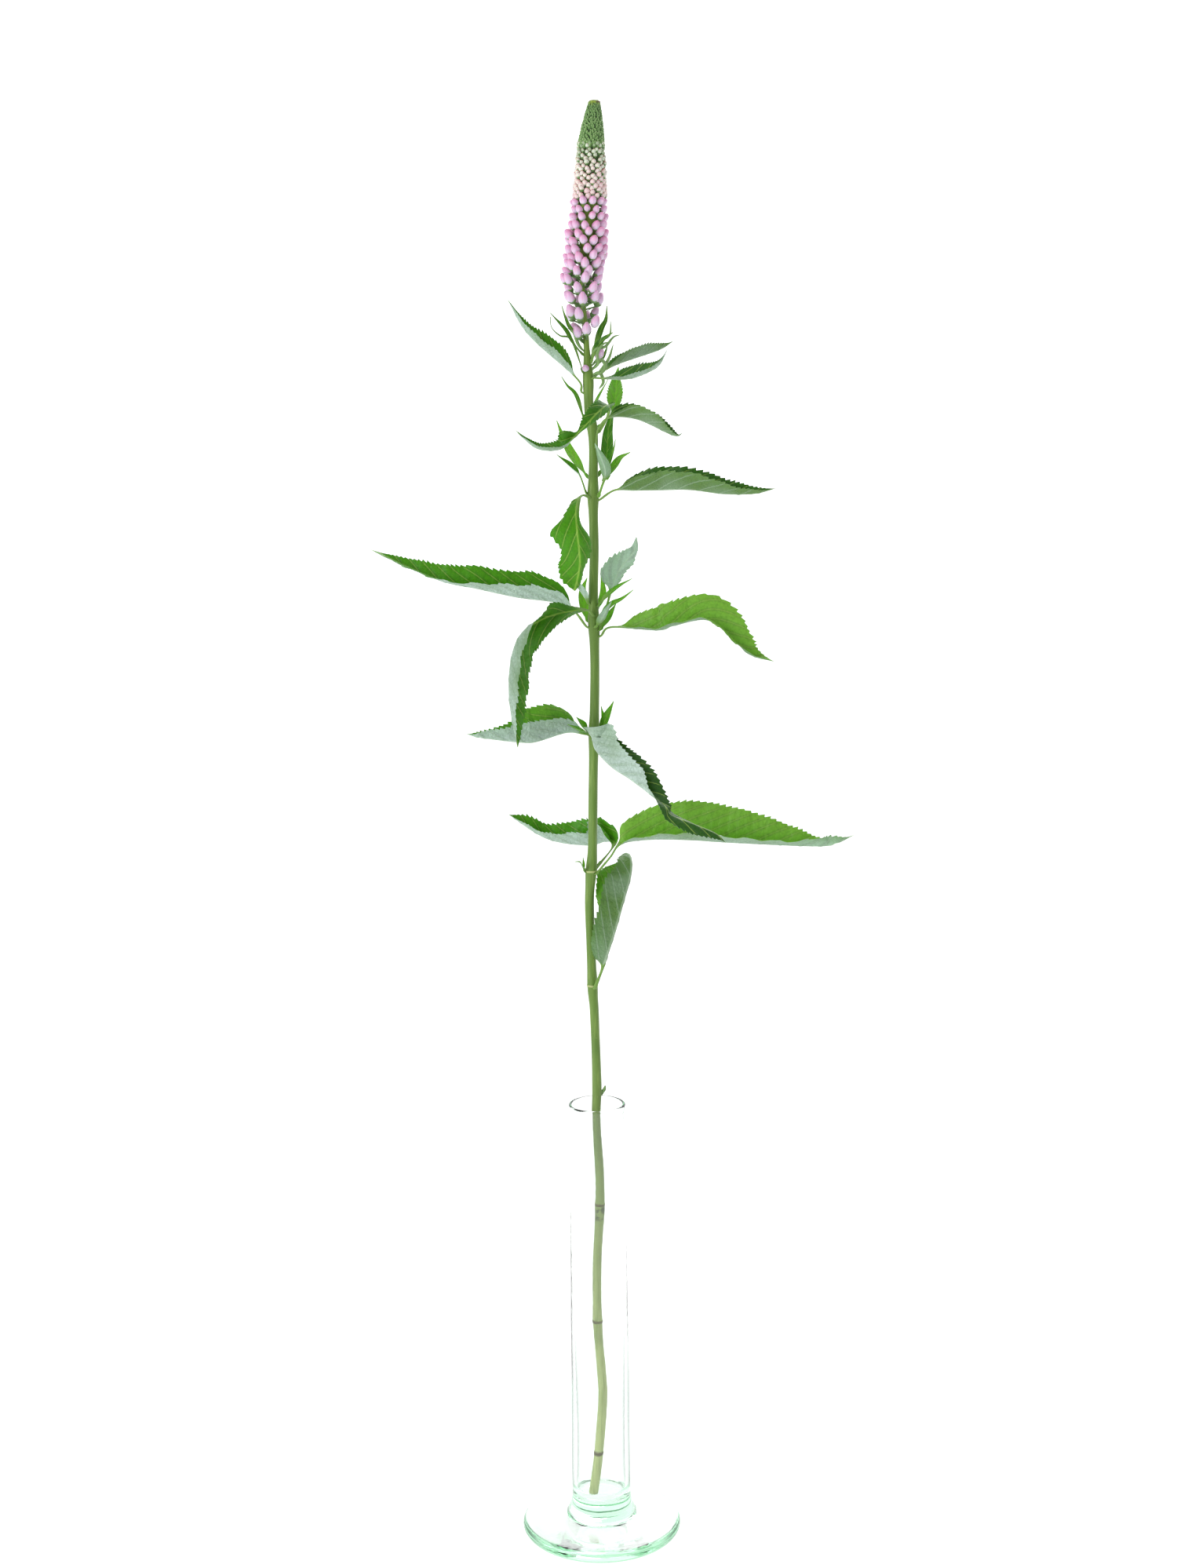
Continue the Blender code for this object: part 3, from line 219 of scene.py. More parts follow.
LEAFLETS = {
    "upper_leaf_back": Leaflet((494.5, 40), 8.1, 0.3, (-0.2, -0.9, 0.3), 36, 0.8,
        [(10.5, 38, 501), (12, 43.5, 508), (12.5, 50, 515.5), (13.5, 53, 521)]),
    "upper_sprig_left": Leaflet((499, 195), 2.8, 0.1, (0.5, -0.7, 0.5), 20, 0.4,
        [(-5.5, 24.5, 508.5), (-9, 22.5, 512.5), (-11.5, 22, 516.5)]),
    "upper_sprig_right": Leaflet((499, 300), 1.8, 0.1, (-0.5, -0.7, 0.5), 20, 0.3,
        [(2.5, 25, 504), (8.5, 22, 515)]),
    "upper_sprig_back": Leaflet((474.5, 30), 5.5, 0.1, (-0.2, -1, 0.1), 20, 0.15,
        [(7, 32.5, 480), (8, 32.5, 486), (8.5, 32, 493), (10, 32.5, 499.5), (11.5, 32, 504.5)]),
    "middle_shoot_stalk_left": Leaflet((466.5, 200), 4.5, 0.38, (0.5, -0.5, 0.7), 40, 0.3,
        [(-4, 23, 474), (-7, 21, 477), (-14, 19.5, 483.5)]),
    "middle_shoot_left": Leaflet((473.5, 150), 5, 0.1, (0.5, -0.8, 0.3), 15, 0.95,
        [(-7.5, 33.5, 483), (-11, 36, 490), (-14, 38.5, 498)]),
    "middle_shoot_front": Leaflet((465.5, 318), 5.2, 0.32, (0.3, 0.9, 0.2), 20, 0.6,
        [(5, 22.5, 468.5), (7, 22, 475.5), (5, 21.5, 482), (2.5, 21, 488)]),
    "middle_shoot_thin": Leaflet((6.5, 23.4, 473), 2, 0.1, (-0.5, -0.7, 0.5), 20, 0.3,
        [(10.5, 27, 485), (11.5, 28.5, 489.5)]),
    "middle_shoot_right": Leaflet((8, 22.6, 473.5), 4, 0.1, (-0.4, -0.8, 0.5), 20, 0.8,
        [(10.5, 25.5, 477.5), (13.5, 28, 481.5), (18, 30, 484)]),
    "lower_shoot_left": Leaflet((419, 215), 5.4, 0.05, (0.6, 0.5, 0.6), 20, 0.25,
        [(-3.5, 19, 424), (-7.5, 16, 429), (-14, 13, 435.5)]),
    "lower_shoot_left_back": Leaflet((411.5, 150), 5, 0.05, (0.3, -0.9, 0.2), 15, 1.0,
        [(-3, 28, 418.5), (-3.5, 30.5, 424.5), (-1.5, 33, 429.5)]),
    "lower_shoot_large": Leaflet((409, 45), 11.5, 0.35, (-0.3, 0.9, 0.3), 15, 0.3,
        [(6.5, 27, 416.5), (9, 28.5, 424.5), (12.5, 30, 433), (17, 30.5, 438.5), (19.5, 31.5, 442),
         (20.3, 32, 447)]),
    "lower_shoot_upper": Leaflet((418.5, 330), 3.2, 0.05, (-0.3, -0.6, 0.7), 25, 0.5,
        [(6, 20, 421.5), (12, 18.5, 426.5), (18, 18, 430)]),
    "lower_shoot_middle": Leaflet((408, 325), 3.6, 0.1, (-0.3, -0.6, 0.7), 25, 0.6,
        [(6, 21, 415), (9, 21, 418.5), (13.5, 20, 421), (18.5, 19.5, 425)]),
    "lower_shoot_right": Leaflet((408, 5), 3.5, 0.1, (-0.3, -0.8, 0.4), 20, 0.6,
        [(8, 25.5, 413.5), (11, 27, 418.5)]),
    "lower_shoot_front": Leaflet((409, 285), 4, 0.1, (-0.3, 0.8, 0.4), 20, 0.6,
        [(5, 16.5, 413.5), (9, 16, 420.5)]),
    "lower_shoot_back": Leaflet((416, 60), 3.2, 0.05, (-0.3, -0.8, 0.4), 20, 1.0,
        [(5.5, 29.5, 423), (4.5, 31, 432)]),
    "base_shoot_left": Leaflet((362.5, 230), 4, 0.1, (0.2, -0.5, 0.8), 20, 0.6,
        [(-5, 12, 364.5), (-11, 8.5, 368)]),
    "base_shoot_left_back": Leaflet((363, 150), 3.5, 0.1, (0.5, -0.7, 0.5), 20, 0.6,
        [(-4, 20.5, 366), (-7, 20.5, 369.5)]),
    "base_shoot_right": Leaflet((360.5, 30), 4.4, 0.15, (-0.5, -0.8, 0.3), 20, 0.6,
        [(5, 22.5, 366), (9.5, 23, 376)]),
    "base_shoot_thin": Leaflet((362, 95), 2.6, 0.15, (-0.2, -0.8, 0.3), 20, 0.6,
        [(5, 24.5, 366), (4, 25, 373.5)]),
    "foot_shoot_left": Leaflet((301.5, 205), 1.8, 0.1, (0.3, -0.5, 0.8), 20, 0.6,
        [(-6, 10, 306.5), (-8.5, 9.5, 307)]),
    "foot_shoot_thin": Leaflet((302, 165), 1.3, 0.1, (0.5, -0.8, 0.3), 15, 0.6,
        [(-4.6, 16.2, 304.5), (-4.8, 16.6, 307.5)]),
    "bract_left": Leaflet((526, 190), 3.2, 0.2, (0.6, -0.6, 0.5), 25, 0.25,
        [(-7, 29, 531.5), (-10, 27.5, 536.5), (-16, 27, 543.5)]),
    "bract_left_thin": Leaflet((518.5, 225), 1.1, 0.1, (0.3, -0.8, 0.5), 15, 0.1,
        [(-7, 32, 532), (-12, 31, 534), (-15.5, 30.5, 537.5), (-16, 30.5, 542)]),
    "bract_left_up": Leaflet((531.5, 215), 2.0, 0.1, (0.4, -0.8, 0.3), 20, 0.2,
        [(-7.5, 28, 537), (-9.5, 27.5, 541.5), (-11, 28, 546.5)]),
    "bract_right": Leaflet((525, 10), 3.2, 0.15, (-0.4, -0.8, 0.3), 25, 0.1,
        [(6, 33, 536.5), (8, 33.5, 540.5), (8.5, 34, 546.5)]),
    "bract_right_thin": Leaflet((519.5, 55), 1.8, 0.1, (-0.4, -0.8, 0.3), 20, 0.1,
        [(6.5, 33.5, 524.5), (9, 35, 531)]),
    "bract_right_curl": Leaflet((522.5, 315), 4, 0.15, (-0.4, -0.7, 0.5), 25, 0.15,
        [(3, 28.5, 527), (5.5, 29, 530.5), (8, 28, 533), (11, 28, 535)]),
}
# Blade rows of the leaflets that are broader on one side
BROAD_BLADES = {
    "lower_shoot_large": [(0.36, 0.7, 15, 0.7, 15), (0.44, 5.4, 12, 2, 15), (0.52, 7.8, 10, 3.4, 15),
                          (0.62, 6.8, 12, 4, 15), (0.76, 4.4, 15, 4, 15), (0.88, 2, 20, 2, 20),
                          (1, 0.2, 20, 0.2, 20)],
}

# The spike: rings of buds, each on two levels that lie rise above and below its height. start is the direction
# of the first bud and turn how far round they spread, in degrees; pink runs from lilac (0) to rose (1).
Ring = namedtuple("Ring", "height rise reach buds start turn tilt length width pink")
PINK_RINGS = {
    "pink_buds_1": Ring(536.0, 0.9, 6.8, 3, 175, 95, 28, 7.0, 4.0, 0.1),
    "pink_buds_2": Ring(543.4, 0.7, 8.3, 6, 38, 215, 30, 6.8, 3.9, 0.05),
    "pink_buds_3": Ring(549.8, 0.6, 8.7, 7, 214, 360, 30, 6.8, 3.8, 0.1),
    "pink_buds_4": Ring(556.2, 1.8, 9.4, 11, 216, 360, 38, 6.6, 3.6, 0.25),
    "pink_buds_5": Ring(562.6, 1.7, 9.6, 15, 222, 360, 42, 6.2, 3.6, 0.4),
    "pink_buds_6": Ring(569.0, 1.65, 9.9, 18, 232, 360, 44, 5.8, 3.6, 0.6),
    "pink_buds_7": Ring(575.6, 1.65, 9.8, 18, 237, 360, 46, 5.4, 3.55, 0.8),
    "pink_buds_8": Ring(582.3, 1.65, 9.1, 18, 242, 360, 48, 5.0, 3.4, 0.65),
    "pink_buds_9": Ring(588.7, 1.65, 8.5, 20, 247, 360, 50, 4.5, 3.1, 0.45),
}
# Single buds under and beside the lowest rings: height, direction, reach, width, tilt, length by width
LONE_BUDS = [(518.7, 250, 5.2, 3.2, 38.0, 1.05), (523.5, 338, 8.6, 4.2, 24.0, 1.5),
             (536.8, 316, 8.8, 4.0, 26.0, 1.6)]
# A leaf bud at the lowest ring and loose narrow bracts beside the top of the stem: points they run through
LOOSE_BRACTS = [
    [(2, 9.3, 200.5), (2.6, 9, 202.5), (3.4, 8.8, 203.7), (3.8, 8.6, 205.5)],
    [(1.5, 31, 521), (5, 29, 524), (7.5, 28, 521), (6, 27.5, 518), (3.5, 27.5, 517)],
    [(1.5, 30, 519), (4.5, 27, 522), (4, 26.5, 526), (6.5, 27.5, 530), (10, 28.5, 531)],
    [(1, 31, 524), (3.5, 28, 528), (7.5, 28.5, 529), (11, 30, 533), (14, 31, 534)],
    [(1.5, 30, 517), (5, 28, 518), (6.5, 28, 514), (4.5, 28, 511)],
    [(2, 32, 526), (5, 30, 531), (9.5, 31, 534), (10, 31, 540)],
    [(1.5, 31, 515), (5.5, 29, 519), (9, 30, 524), (11, 31, 530)],
    [(-1.5, 31, 527), (-4, 29, 530), (-6, 28, 535), (-8.5, 28, 537)],
]


# The stage, in metres

KEY_WIDTH, KEY_PLACE = 0.9, (-1.15, -1.0, 0.75)
BACK_WIDTH, BACK_PLACE = 1.2, (0.5, 1.1, 1.5)
PLANT_MIDDLE = 0.35  # the height that the lights face
FLOOR_RINGS, FLOOR_SIDES = 8, 48
FLOOR_GAP = 0.0002  # how far the floor lies below the foot
LENS, SENSOR_WIDTH, CAMERA_SIDE = 50, 36, -0.002


# Shaders written as sums


class Socket:
    """A node's output that takes part in sums: each operator adds the Math node that works it out."""

    def __init__(self, nodes, out):
        self.nodes, self.out = nodes, out

    def _math(self, operation, *values):
        """The Math node of an operation on numbers or sockets."""
        return self.nodes.add("ShaderNodeMath", dict(enumerate(values)), operation=operation)

    def __add__(self, other):
        return self._math("ADD", self, other)

    def __sub__(self, other):
        return self._math("SUBTRACT", self, other)

    def __rsub__(self, other):
        return self._math("SUBTRACT", other, self)

    def __mul__(self, other):
        return self._math("MULTIPLY", self, other)

    __radd__, __rmul__ = __add__, __mul__

    def nearest_whole(self):
        """How far the value is from the nearest whole number, 0 to 0.5."""
        return self._math("ABSOLUTE", self - self._math("ROUND", self))

    def most(self, other):
        """The larger of the value and another."""
        return self._math("MAXIMUM", self, other)

    def held(self, low=0.0):
        """The value kept between low and 1."""
        return self._math("MINIMUM", self.most(low), 1.0)


class Nodes:
    """Adds nodes to the tree of one material or world."""

    def __init__(self, owner):
        owner.use_nodes = True
        self.owner, self.tree = owner, owner.node_tree
        self.tree.nodes.clear()

    def add(self, kind, inputs=None, output=0, **settings):
        """A node of a kind: its settings first, then a value or a link for each named or numbered input."""
        node = self.tree.nodes.new(kind)
        for name, value in settings.items():
            setattr(node, name, value)
        for name, value in (inputs or {}).items():
            if isinstance(value, Socket):
                self.tree.links.new(value.out, node.inputs[name])
            else:
                node.inputs[name].default_value = (*value, 1.0) if node.inputs[name].type == "RGBA" else value
        return Socket(self, node.outputs[output]) if len(node.outputs) else node

    def field(self, name):
        """A number stored on the mesh's points."""
        return self.add("ShaderNodeAttribute", output="Fac", attribute_name=name)

    def place(self, *stretch):
        """Object coordinates in metres, stretched along each axis."""
        spot = self.add("ShaderNodeTexCoord", output="Object")
        return self.add("ShaderNodeVectorMath", {0: spot, 1: stretch}, operation="MULTIPLY") if stretch else spot

    def part(self, vector, axis):
        """One of a vector's three numbers."""
        return self.add("ShaderNodeSeparateXYZ", {0: vector}, axis)

    def noise(self, scale, detail=2.0, place=None, output=0):
        """Soft noise, as a value or, from output 1, as a vector."""
        return self.add("ShaderNodeTexNoise",
                        {"Vector": place or self.place(), "Scale": scale, "Detail": detail}, output)

    def cells(self, scale, place=None):
        """Distance to the edge of the nearest cell, in cells."""
        return self.add("ShaderNodeTexVoronoi", {"Vector": place or self.place(), "Scale": scale},
                        feature="DISTANCE_TO_EDGE")

    def rise(self, value, low, high):
        """0 below low, 1 above high and smooth between; low above high turns it round."""
        start, end, floor, top = (low, high, 0.0, 1.0) if low < high else (high, low, 1.0, 0.0)
        return self.add("ShaderNodeMapRange", interpolation_type="SMOOTHSTEP", inputs={
            "Value": value, "From Min": start, "From Max": end, "To Min": floor, "To Max": top})

    def blend(self, share, first, second):
        """A colour between two."""
        return self.add("ShaderNodeMix", {0: share, 6: first, 7: second}, 2, data_type="RGBA")

    def layers(self, color, *coats):
        """A colour with others laid over it in turn, each as (share, colour)."""
        for share, coat in coats:
            color = self.blend(share, color, coat)
        return color

    def bump(self, height, distance, strength=1.0):
        """A normal tilted by a height."""
        return self.add("ShaderNodeBump", {"Height": height, "Distance": distance, "Strength": strength})

    def principled(self, color, roughness, normal, **constants):
        """The main shader, whose constants carry _ for each space in their names."""
        return self.add("ShaderNodeBsdfPrincipled", {
            "Base Color": color, "Roughness": roughness, "Normal": normal,
            **{name.replace("_", " "): value for name, value in constants.items()}})

    def surface(self, shader, **more):
        """Ends the tree with a shader and gives its owner."""
        self.add("ShaderNodeOutputMaterial", {"Surface": shader, **more})
        return self.owner


def material_nodes(name):
    """Nodes of a new material."""
    return Nodes(bpy.data.materials.new(name))


def glass_material(settings):
    """Clear glass whose green comes from its thickness, with a faint ripple and painted shade where the low tube
    is seen edge on.
    """
    nodes = material_nodes("vase_glass")
    ripple = nodes.noise(55, 1.0, nodes.place(1, 1, 0.35)) + 0.25 * nodes.noise(260)
    facing = nodes.add("ShaderNodeLayerWeight", {"Blend": 0.5}, "Facing")
    height = nodes.part(nodes.place(), "Z")
    # edge is painted shade: it darkens the low tube where it is seen edge on, in place of the dark edges that
    # refraction shows
    edge = nodes.rise(facing, 0.45, 0.85) * nodes.rise(height, 0.018, 0.024) * nodes.rise(height, 0.125, 0.06)
    shader = nodes.principled(nodes.blend(edge, settings.surface_color, settings.edge_shade_color), 0.0,
                              nodes.bump(ripple, settings.ripple), IOR=1.5, Transmission_Weight=1.0)
    depth = nodes.add("ShaderNodeVolumeAbsorption",
                      {"Color": settings.depth_color, "Density": settings.depth_density})
    return nodes.surface(shader, Volume=depth)


def stem_material(settings):
    """Satin stem: olive low down, mid green above, fine streaks along it, pale dots and pale or brown scars."""
    nodes = material_nodes("stem_skin")
    place = nodes.place()
    height, scar = nodes.part(place, "Z"), nodes.field("scar")
    streak, patch = nodes.noise(900, place=nodes.place(1, 1, 0.035)), nodes.noise(38, 3.0)
    dots = nodes.rise(nodes.add("ShaderNodeTexVoronoi", {"Vector": place, "Scale": 420.0}), 0.16, 0.05)
    low_down = nodes.rise(height, 0.18, 0.16)
    brown = nodes.rise(nodes.noise(260, 3.0), 0.42, 0.56) * nodes.rise(scar, 0.02, 0.3)
    off_bruise = height - BRUISE_HEIGHT
    bruise = nodes.rise(off_bruise * off_bruise, 1.6e-5, 4e-6) * nodes.rise(nodes.noise(330), 0.4, 0.55)
    color = nodes.layers(
        settings.low_color,
        (nodes.rise(height + 0.03 * patch, 0.03, 0.26), settings.color),
        (nodes.rise(height, 0.5, 0.56), settings.spike_color),
        (0.55 * nodes.rise(streak, 0.45, 0.75), settings.streak_color),
        (0.35 * nodes.rise(patch, 0.5, 0.75), settings.dark_color),
        (0.55 * dots * nodes.rise(height, 0.3, 0.12), settings.scar_color),
        (0.8 * nodes.rise(scar, 0.3, 0.8), nodes.blend(low_down, settings.scar_color, settings.brown_color)),
        (0.7 * brown * low_down, settings.brown_color),
        (0.75 * bruise, settings.bruise_color),
        (nodes.field("cut"), settings.scar_color))
    return nodes.surface(nodes.principled(
        color, 0.42 + 0.15 * patch, nodes.bump(streak + 0.4 * nodes.noise(2500, 1.0), 0.00012, 0.7),
        Sheen_Weight=0.35, Sheen_Roughness=0.4, Specular_IOR_Level=0.4))


def leaf_material(name, settings, young):
    """Two-sided leaf: green above, pale and grey beneath, with midrib, side veins and a fine net between them.

    side is 1 on the upper side and 0 beneath, across the distance from the midrib in mm, share the same as a
    share of the half width, vein a count that is whole on each side vein, and fresh and under the
    leaf's green above and beneath, which hold painted light and shade as well as its own colour. The creases,
    a band beside each side vein and, beneath, the fine net are darkened with painted shade, and the pale
    underside carries a painted sheen."""
    nodes = material_nodes(name)
    side, across, share, stalk, vein, fresh, under = map(
        nodes.field, ("side", "across", "share", "stalk", "vein", "fresh", "under"))
    patch, fine, broad = nodes.noise(75), nodes.noise(900), nodes.noise(38, 1.0)
    upper, margin, off_vein = nodes.rise(side, 0.35, 0.65), nodes.rise(share, 1.0, 0.8), vein.nearest_whole()
    # glow is the band about each side vein, not a glow: it places painted shade beside the veins and lets less
    # light through there
    line, glow = nodes.rise(off_vein, 0.08, 0.02) * margin, nodes.rise(off_vein, 0.32, 0.0) * margin
    rib = nodes.rise(across, 0.4, 0.1) if young else nodes.rise(across, 0.6, 0.18)
    net = nodes.rise(nodes.cells(800.0), 0.14, 0.02) * (1 - rib)
    bent = nodes.add("ShaderNodeVectorMath", operation="MULTIPLY_ADD", inputs={
        0: nodes.noise(420.0, output=1), 1: (0.0022, 0.0022, 0.0022), 2: nodes.place()})
    cell = nodes.cells(520.0, bent)
    pillow = nodes.rise(cell, 0.0, 0.42) * (1 - rib)
    crease_shade = nodes.rise(cell, 0.2, 0.0) * (1 - rib) * (0.35 if young else 1.0)

    green = fresh + 0.35 * (patch - 0.5)
    above = nodes.layers(
        settings.deep_green_and_shade_color,
        (nodes.rise(green, 0.0, 0.5), settings.vivid_color),
        (nodes.rise(green, 0.5, 1.0), settings.fresh_color),
        (0.25 * nodes.rise(fine, 0.5, 0.7), settings.deep_green_and_shade_color),
        # painted shade in the creases and in the band beside each side vein
        (0.14 * crease_shade + 0.3 * glow, settings.deep_green_and_shade_color),
        (0.5 * line + 0.04 * net, settings.vein_color),
        ((0.35 if young else 0.55) * rib, settings.vein_color))
    # How far the underside goes from the pale colour with its painted sheen to the green one; the leaf's under
    # value in it also carries painted light and shade
    underside_green = 1.3 * (under - 0.25) + 1.3 * (broad - 0.5) + 0.5 * (patch - 0.5) + 0.3 * (share - 0.5)
    beneath = nodes.layers(
        settings.pale_under_and_sheen_color,
        (underside_green.held(), settings.under_fresh_color),
        # painted shade in the creases, beside the side veins and along the fine net
        (0.2 * crease_shade + 0.32 * glow + 0.12 * net, settings.crease_shade_color),
        (0.24 * line, settings.under_vein_color),
        (0.5 * rib, settings.under_vein_color))
    color = nodes.blend(stalk, nodes.blend(upper, beneath, above), settings.stalk_color)
    relief = 0.3 * fine + pillow * (1 - 0.65 * upper) * (1 - stalk)
    shader = nodes.principled(
        color, 0.42 - 0.04 * upper + 0.16 * fine, nodes.bump(relief, 0.0004, 0.3 if young else 0.5),
        Specular_IOR_Level=0.32, Sheen_Weight=0.08, Sheen_Roughness=0.5)
    light, light_share = ((settings.young_light_color, settings.young_light_share) if young else
                          (settings.light_color, settings.light_share))
    through = light_share * (0.5 + 0.5 * fresh) * (1 - 0.35 * glow)
    glowing = nodes.add("ShaderNodeBsdfTranslucent", {"Color": light})
    return nodes.surface(nodes.add("ShaderNodeMixShader", {0: through, 1: shader, 2: glowing}))


def petal_material(settings):
    """Closed petals: lilac white beneath and at the base, pink above and towards the tip, with faint seams."""
    nodes = material_nodes("pink_petals")
    along, blush, tone = nodes.field("along"), nodes.field("blush"), nodes.field("tone")
    mottle = nodes.noise(700)
    flush = (blush + 0.25 * along + 0.2 * (mottle - 0.5)).held()
    seam = nodes.rise(nodes.field("seam").nearest_whole(), 0.1, 0.0) * nodes.rise(along, 0.25, 0.7)
    color = nodes.layers(
        settings.petal_pale,
        (nodes.rise(flush, 0.2, 0.82), nodes.blend(tone.held(), settings.petal_lilac, settings.petal_pink)),
        (0.8 * nodes.rise(flush, 0.74, 1.0) * tone.held(0.2), settings.petal_deep),
        (nodes.rise(along, 0.14, 0.03), settings.calyx_color),
        (0.4 * seam, settings.petal_deep))
    return nodes.surface(nodes.principled(
        color, 0.5 + 0.15 * mottle, nodes.bump(mottle - seam, 0.00012, 0.6), Sheen_Weight=0.2,
        Specular_IOR_Level=0.35, Subsurface_Weight=0.35, Subsurface_Radius=(1.0, 0.5, 0.6),
        Subsurface_Scale=0.0012))


def pale_bud_material(settings):
    """Small closed buds: cream with a green base, and a coral edge on top."""
    nodes = material_nodes("pale_buds")
    along, blush, tone = nodes.field("along"), nodes.field("blush"), nodes.field("tone")
    mottle = nodes.noise(900)
    loose = 0.35 * (mottle - 0.5)
    green = nodes.rise(along + loose + 0.45 * (blush - 0.5), 0.56, 0.26)
    color = nodes.layers(
        settings.cream_color,
        (tone, settings.cream_pink),
        (0.8 * nodes.rise(blush + loose, 0.54, 0.84), settings.coral_color),
        (green.most(nodes.field("green")), settings.calyx_color))
    return nodes.surface(nodes.principled(
        color, 0.45 + 0.15 * mottle, nodes.bump(mottle, 0.0001, 0.6), Specular_IOR_Level=0.4,
        Subsurface_Weight=0.25, Subsurface_Radius=(1.0, 0.6, 0.4), Subsurface_Scale=0.0008))


def scale_material(settings):
    """Green bud scales and cups: painted shade at the base and in the gaps, and paler tips that carry a painted
    highlight as well as their own paler green.

    tone is about 0.5 on most scales, above 1.7 on the bright crown and above 2.7 on its brown edge."""
    nodes = material_nodes("bud_scales")
    along, tone = nodes.field("along"), nodes.field("tone")
    mottle = nodes.noise(800)
    color = nodes.layers(
        settings.scale_gap_shade,
        (nodes.rise(along + 0.3 * (mottle - 0.5), 0.15, 0.8), settings.scale_color),
        (0.8 * nodes.rise(along, 0.7, 1.0), settings.pale_tip_and_highlight),
        (nodes.rise(tone, 1.2, 1.7), settings.crown_color),
        (nodes.rise(tone, 2.2, 2.7), settings.crown_brown))
    return nodes.surface(nodes.principled(color, 0.45 + 0.2 * mottle, nodes.bump(mottle, 0.0001, 0.7),
                                          Specular_IOR_Level=0.4, Sheen_Weight=0.2))


def floor_material(settings):
    """Matt white paper with the faintest mottle."""
    nodes = material_nodes("studio_paper")
    return nodes.surface(nodes.principled(
        nodes.blend(0.5 * nodes.noise(14, 3.0), settings.floor_color, settings.floor_mottle), 0.85,
        nodes.bump(nodes.noise(400), 0.0001, 0.3), Specular_IOR_Level=0.1, Emission_Color=(1.0, 1.0, 1.0),
        Emission_Strength=settings.floor_glow))


# Surfaces


def skin(grid):
    """Points and faces of closed skins over grids of points, as (bodies, rows, columns, 3).

    Columns run round and rows along; each end row is drawn to its middle point, and all faces point outwards."""
    bodies, rows, columns = grid.shape[:3]
    points = close_ends(grid)
    spot = np.arange(rows * columns).reshape(rows, columns)
    after = np.roll(spot, -1, axis=1)
    quads = np.stack([spot[:-1], after[:-1], after[1:], spot[1:]], axis=-1).reshape(-1, 4)
    first, last = rows * columns, rows * columns + 1
    ends = np.concatenate([np.stack([np.full(columns, first), after[0], spot[0]], axis=1),
                           np.stack([np.full(columns, last), spot[-1], after[-1]], axis=1)])
    one = points[0] - points[0].mean(axis=0)
    corners = np.concatenate([quads[:, [0, 1, 2]], quads[:, [0, 2, 3]], ends])
    a, b, c = (one[corners[:, k]] for k in range(3))
    if np.sum(a * np.cross(b, c)) < 0:
        quads, ends = quads[:, ::-1], ends[:, ::-1]
    shift = (np.arange(bodies) * (rows * columns + 2))[:, None, None]
    return points.reshape(-1, 3), (quads[None] + shift).reshape(-1, 4), (ends[None] + shift).reshape(-1, 3)


def close_ends(grid):
    """Each body's grid values in one row, followed by the mean of its first row and the mean of its last."""
    flat = grid.reshape(grid.shape[0], -1, *grid.shape[3:])
    return np.concatenate([flat, grid[:, :1].mean(axis=2), grid[:, -1:].mean(axis=2)], axis=1)


def add_piece(name, grid, material, nodes=(), fields=None, sharp_columns=()):
    """An object whose mesh is the closed skin over a grid in millimetres, which rides on the part's body.

    fields are numbers for each grid point, stored for the material. Edges that run along the sharp columns
    keep their corner in the shading."""
    if grid.ndim == 3:
        grid = grid[None]
    points, quads, ends = skin(grid)
    mesh = bpy.data.meshes.new(name)
    mesh.vertices.add(len(points))
    mesh.vertices.foreach_set("co", (points * MM).astype(np.float32).ravel())
    mesh.loops.add(quads.size + ends.size)
    mesh.loops.foreach_set("vertex_index", np.concatenate([quads.ravel(), ends.ravel()]).astype(np.int32))
    starts = np.concatenate([np.arange(len(quads)) * 4, quads.size + np.arange(len(ends)) * 3])
    mesh.polygons.add(len(starts))
    mesh.polygons.foreach_set("loop_start", starts.astype(np.int32))
    mesh.update(calc_edges=True)
    mesh.shade_smooth()
    for field, values in (fields or {}).items():
        values = close_ends(np.broadcast_to(values, grid.shape[:3]))
        mesh.attributes.new(field, "FLOAT", "POINT").data.foreach_set("value", values.astype(np.float32).ravel())
    if len(sharp_columns):
        pairs = np.empty(len(mesh.edges) * 2, np.int32)
        mesh.edges.foreach_get("vertices", pairs)
        pairs = pairs.reshape(-1, 2)
        rows, columns = grid.shape[1:3]
        inside, column = np.all(pairs < rows * columns, axis=1), pairs % columns
        sharp = inside & (column[:, 0] == column[:, 1]) & np.isin(column[:, 0], sharp_columns)
        mesh.attributes.new("sharp_edge", "BOOLEAN", "EDGE").data.foreach_set("value", sharp)
    if mesh.validate():
        raise RuntimeError(f"{name}: its mesh had faults")
    mesh.materials.append(material)
    piece = bpy.data.objects.new(name, mesh)
    bpy.context.scene.collection.objects.link(piece)
    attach(piece, BODY)
    if nodes:
        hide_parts(*nodes)


def add_green(name, grid, material, along, tone=0.5):
    """A green piece of the spike that stands for no node of its own."""
    add_piece(name, grid, material, (), {"along": along, "tone": tone})


def unit(vectors):
    """The vectors at length 1."""
    return vectors / np.maximum(np.linalg.norm(vectors, axis=-1, keepdims=True), 1e-9)


def ease(value, low, high):
    """0 below low, 1 above high and smooth between."""
    share = np.clip((value - low) / (high - low), 0, 1)
    return share * share * (3 - 2 * share)


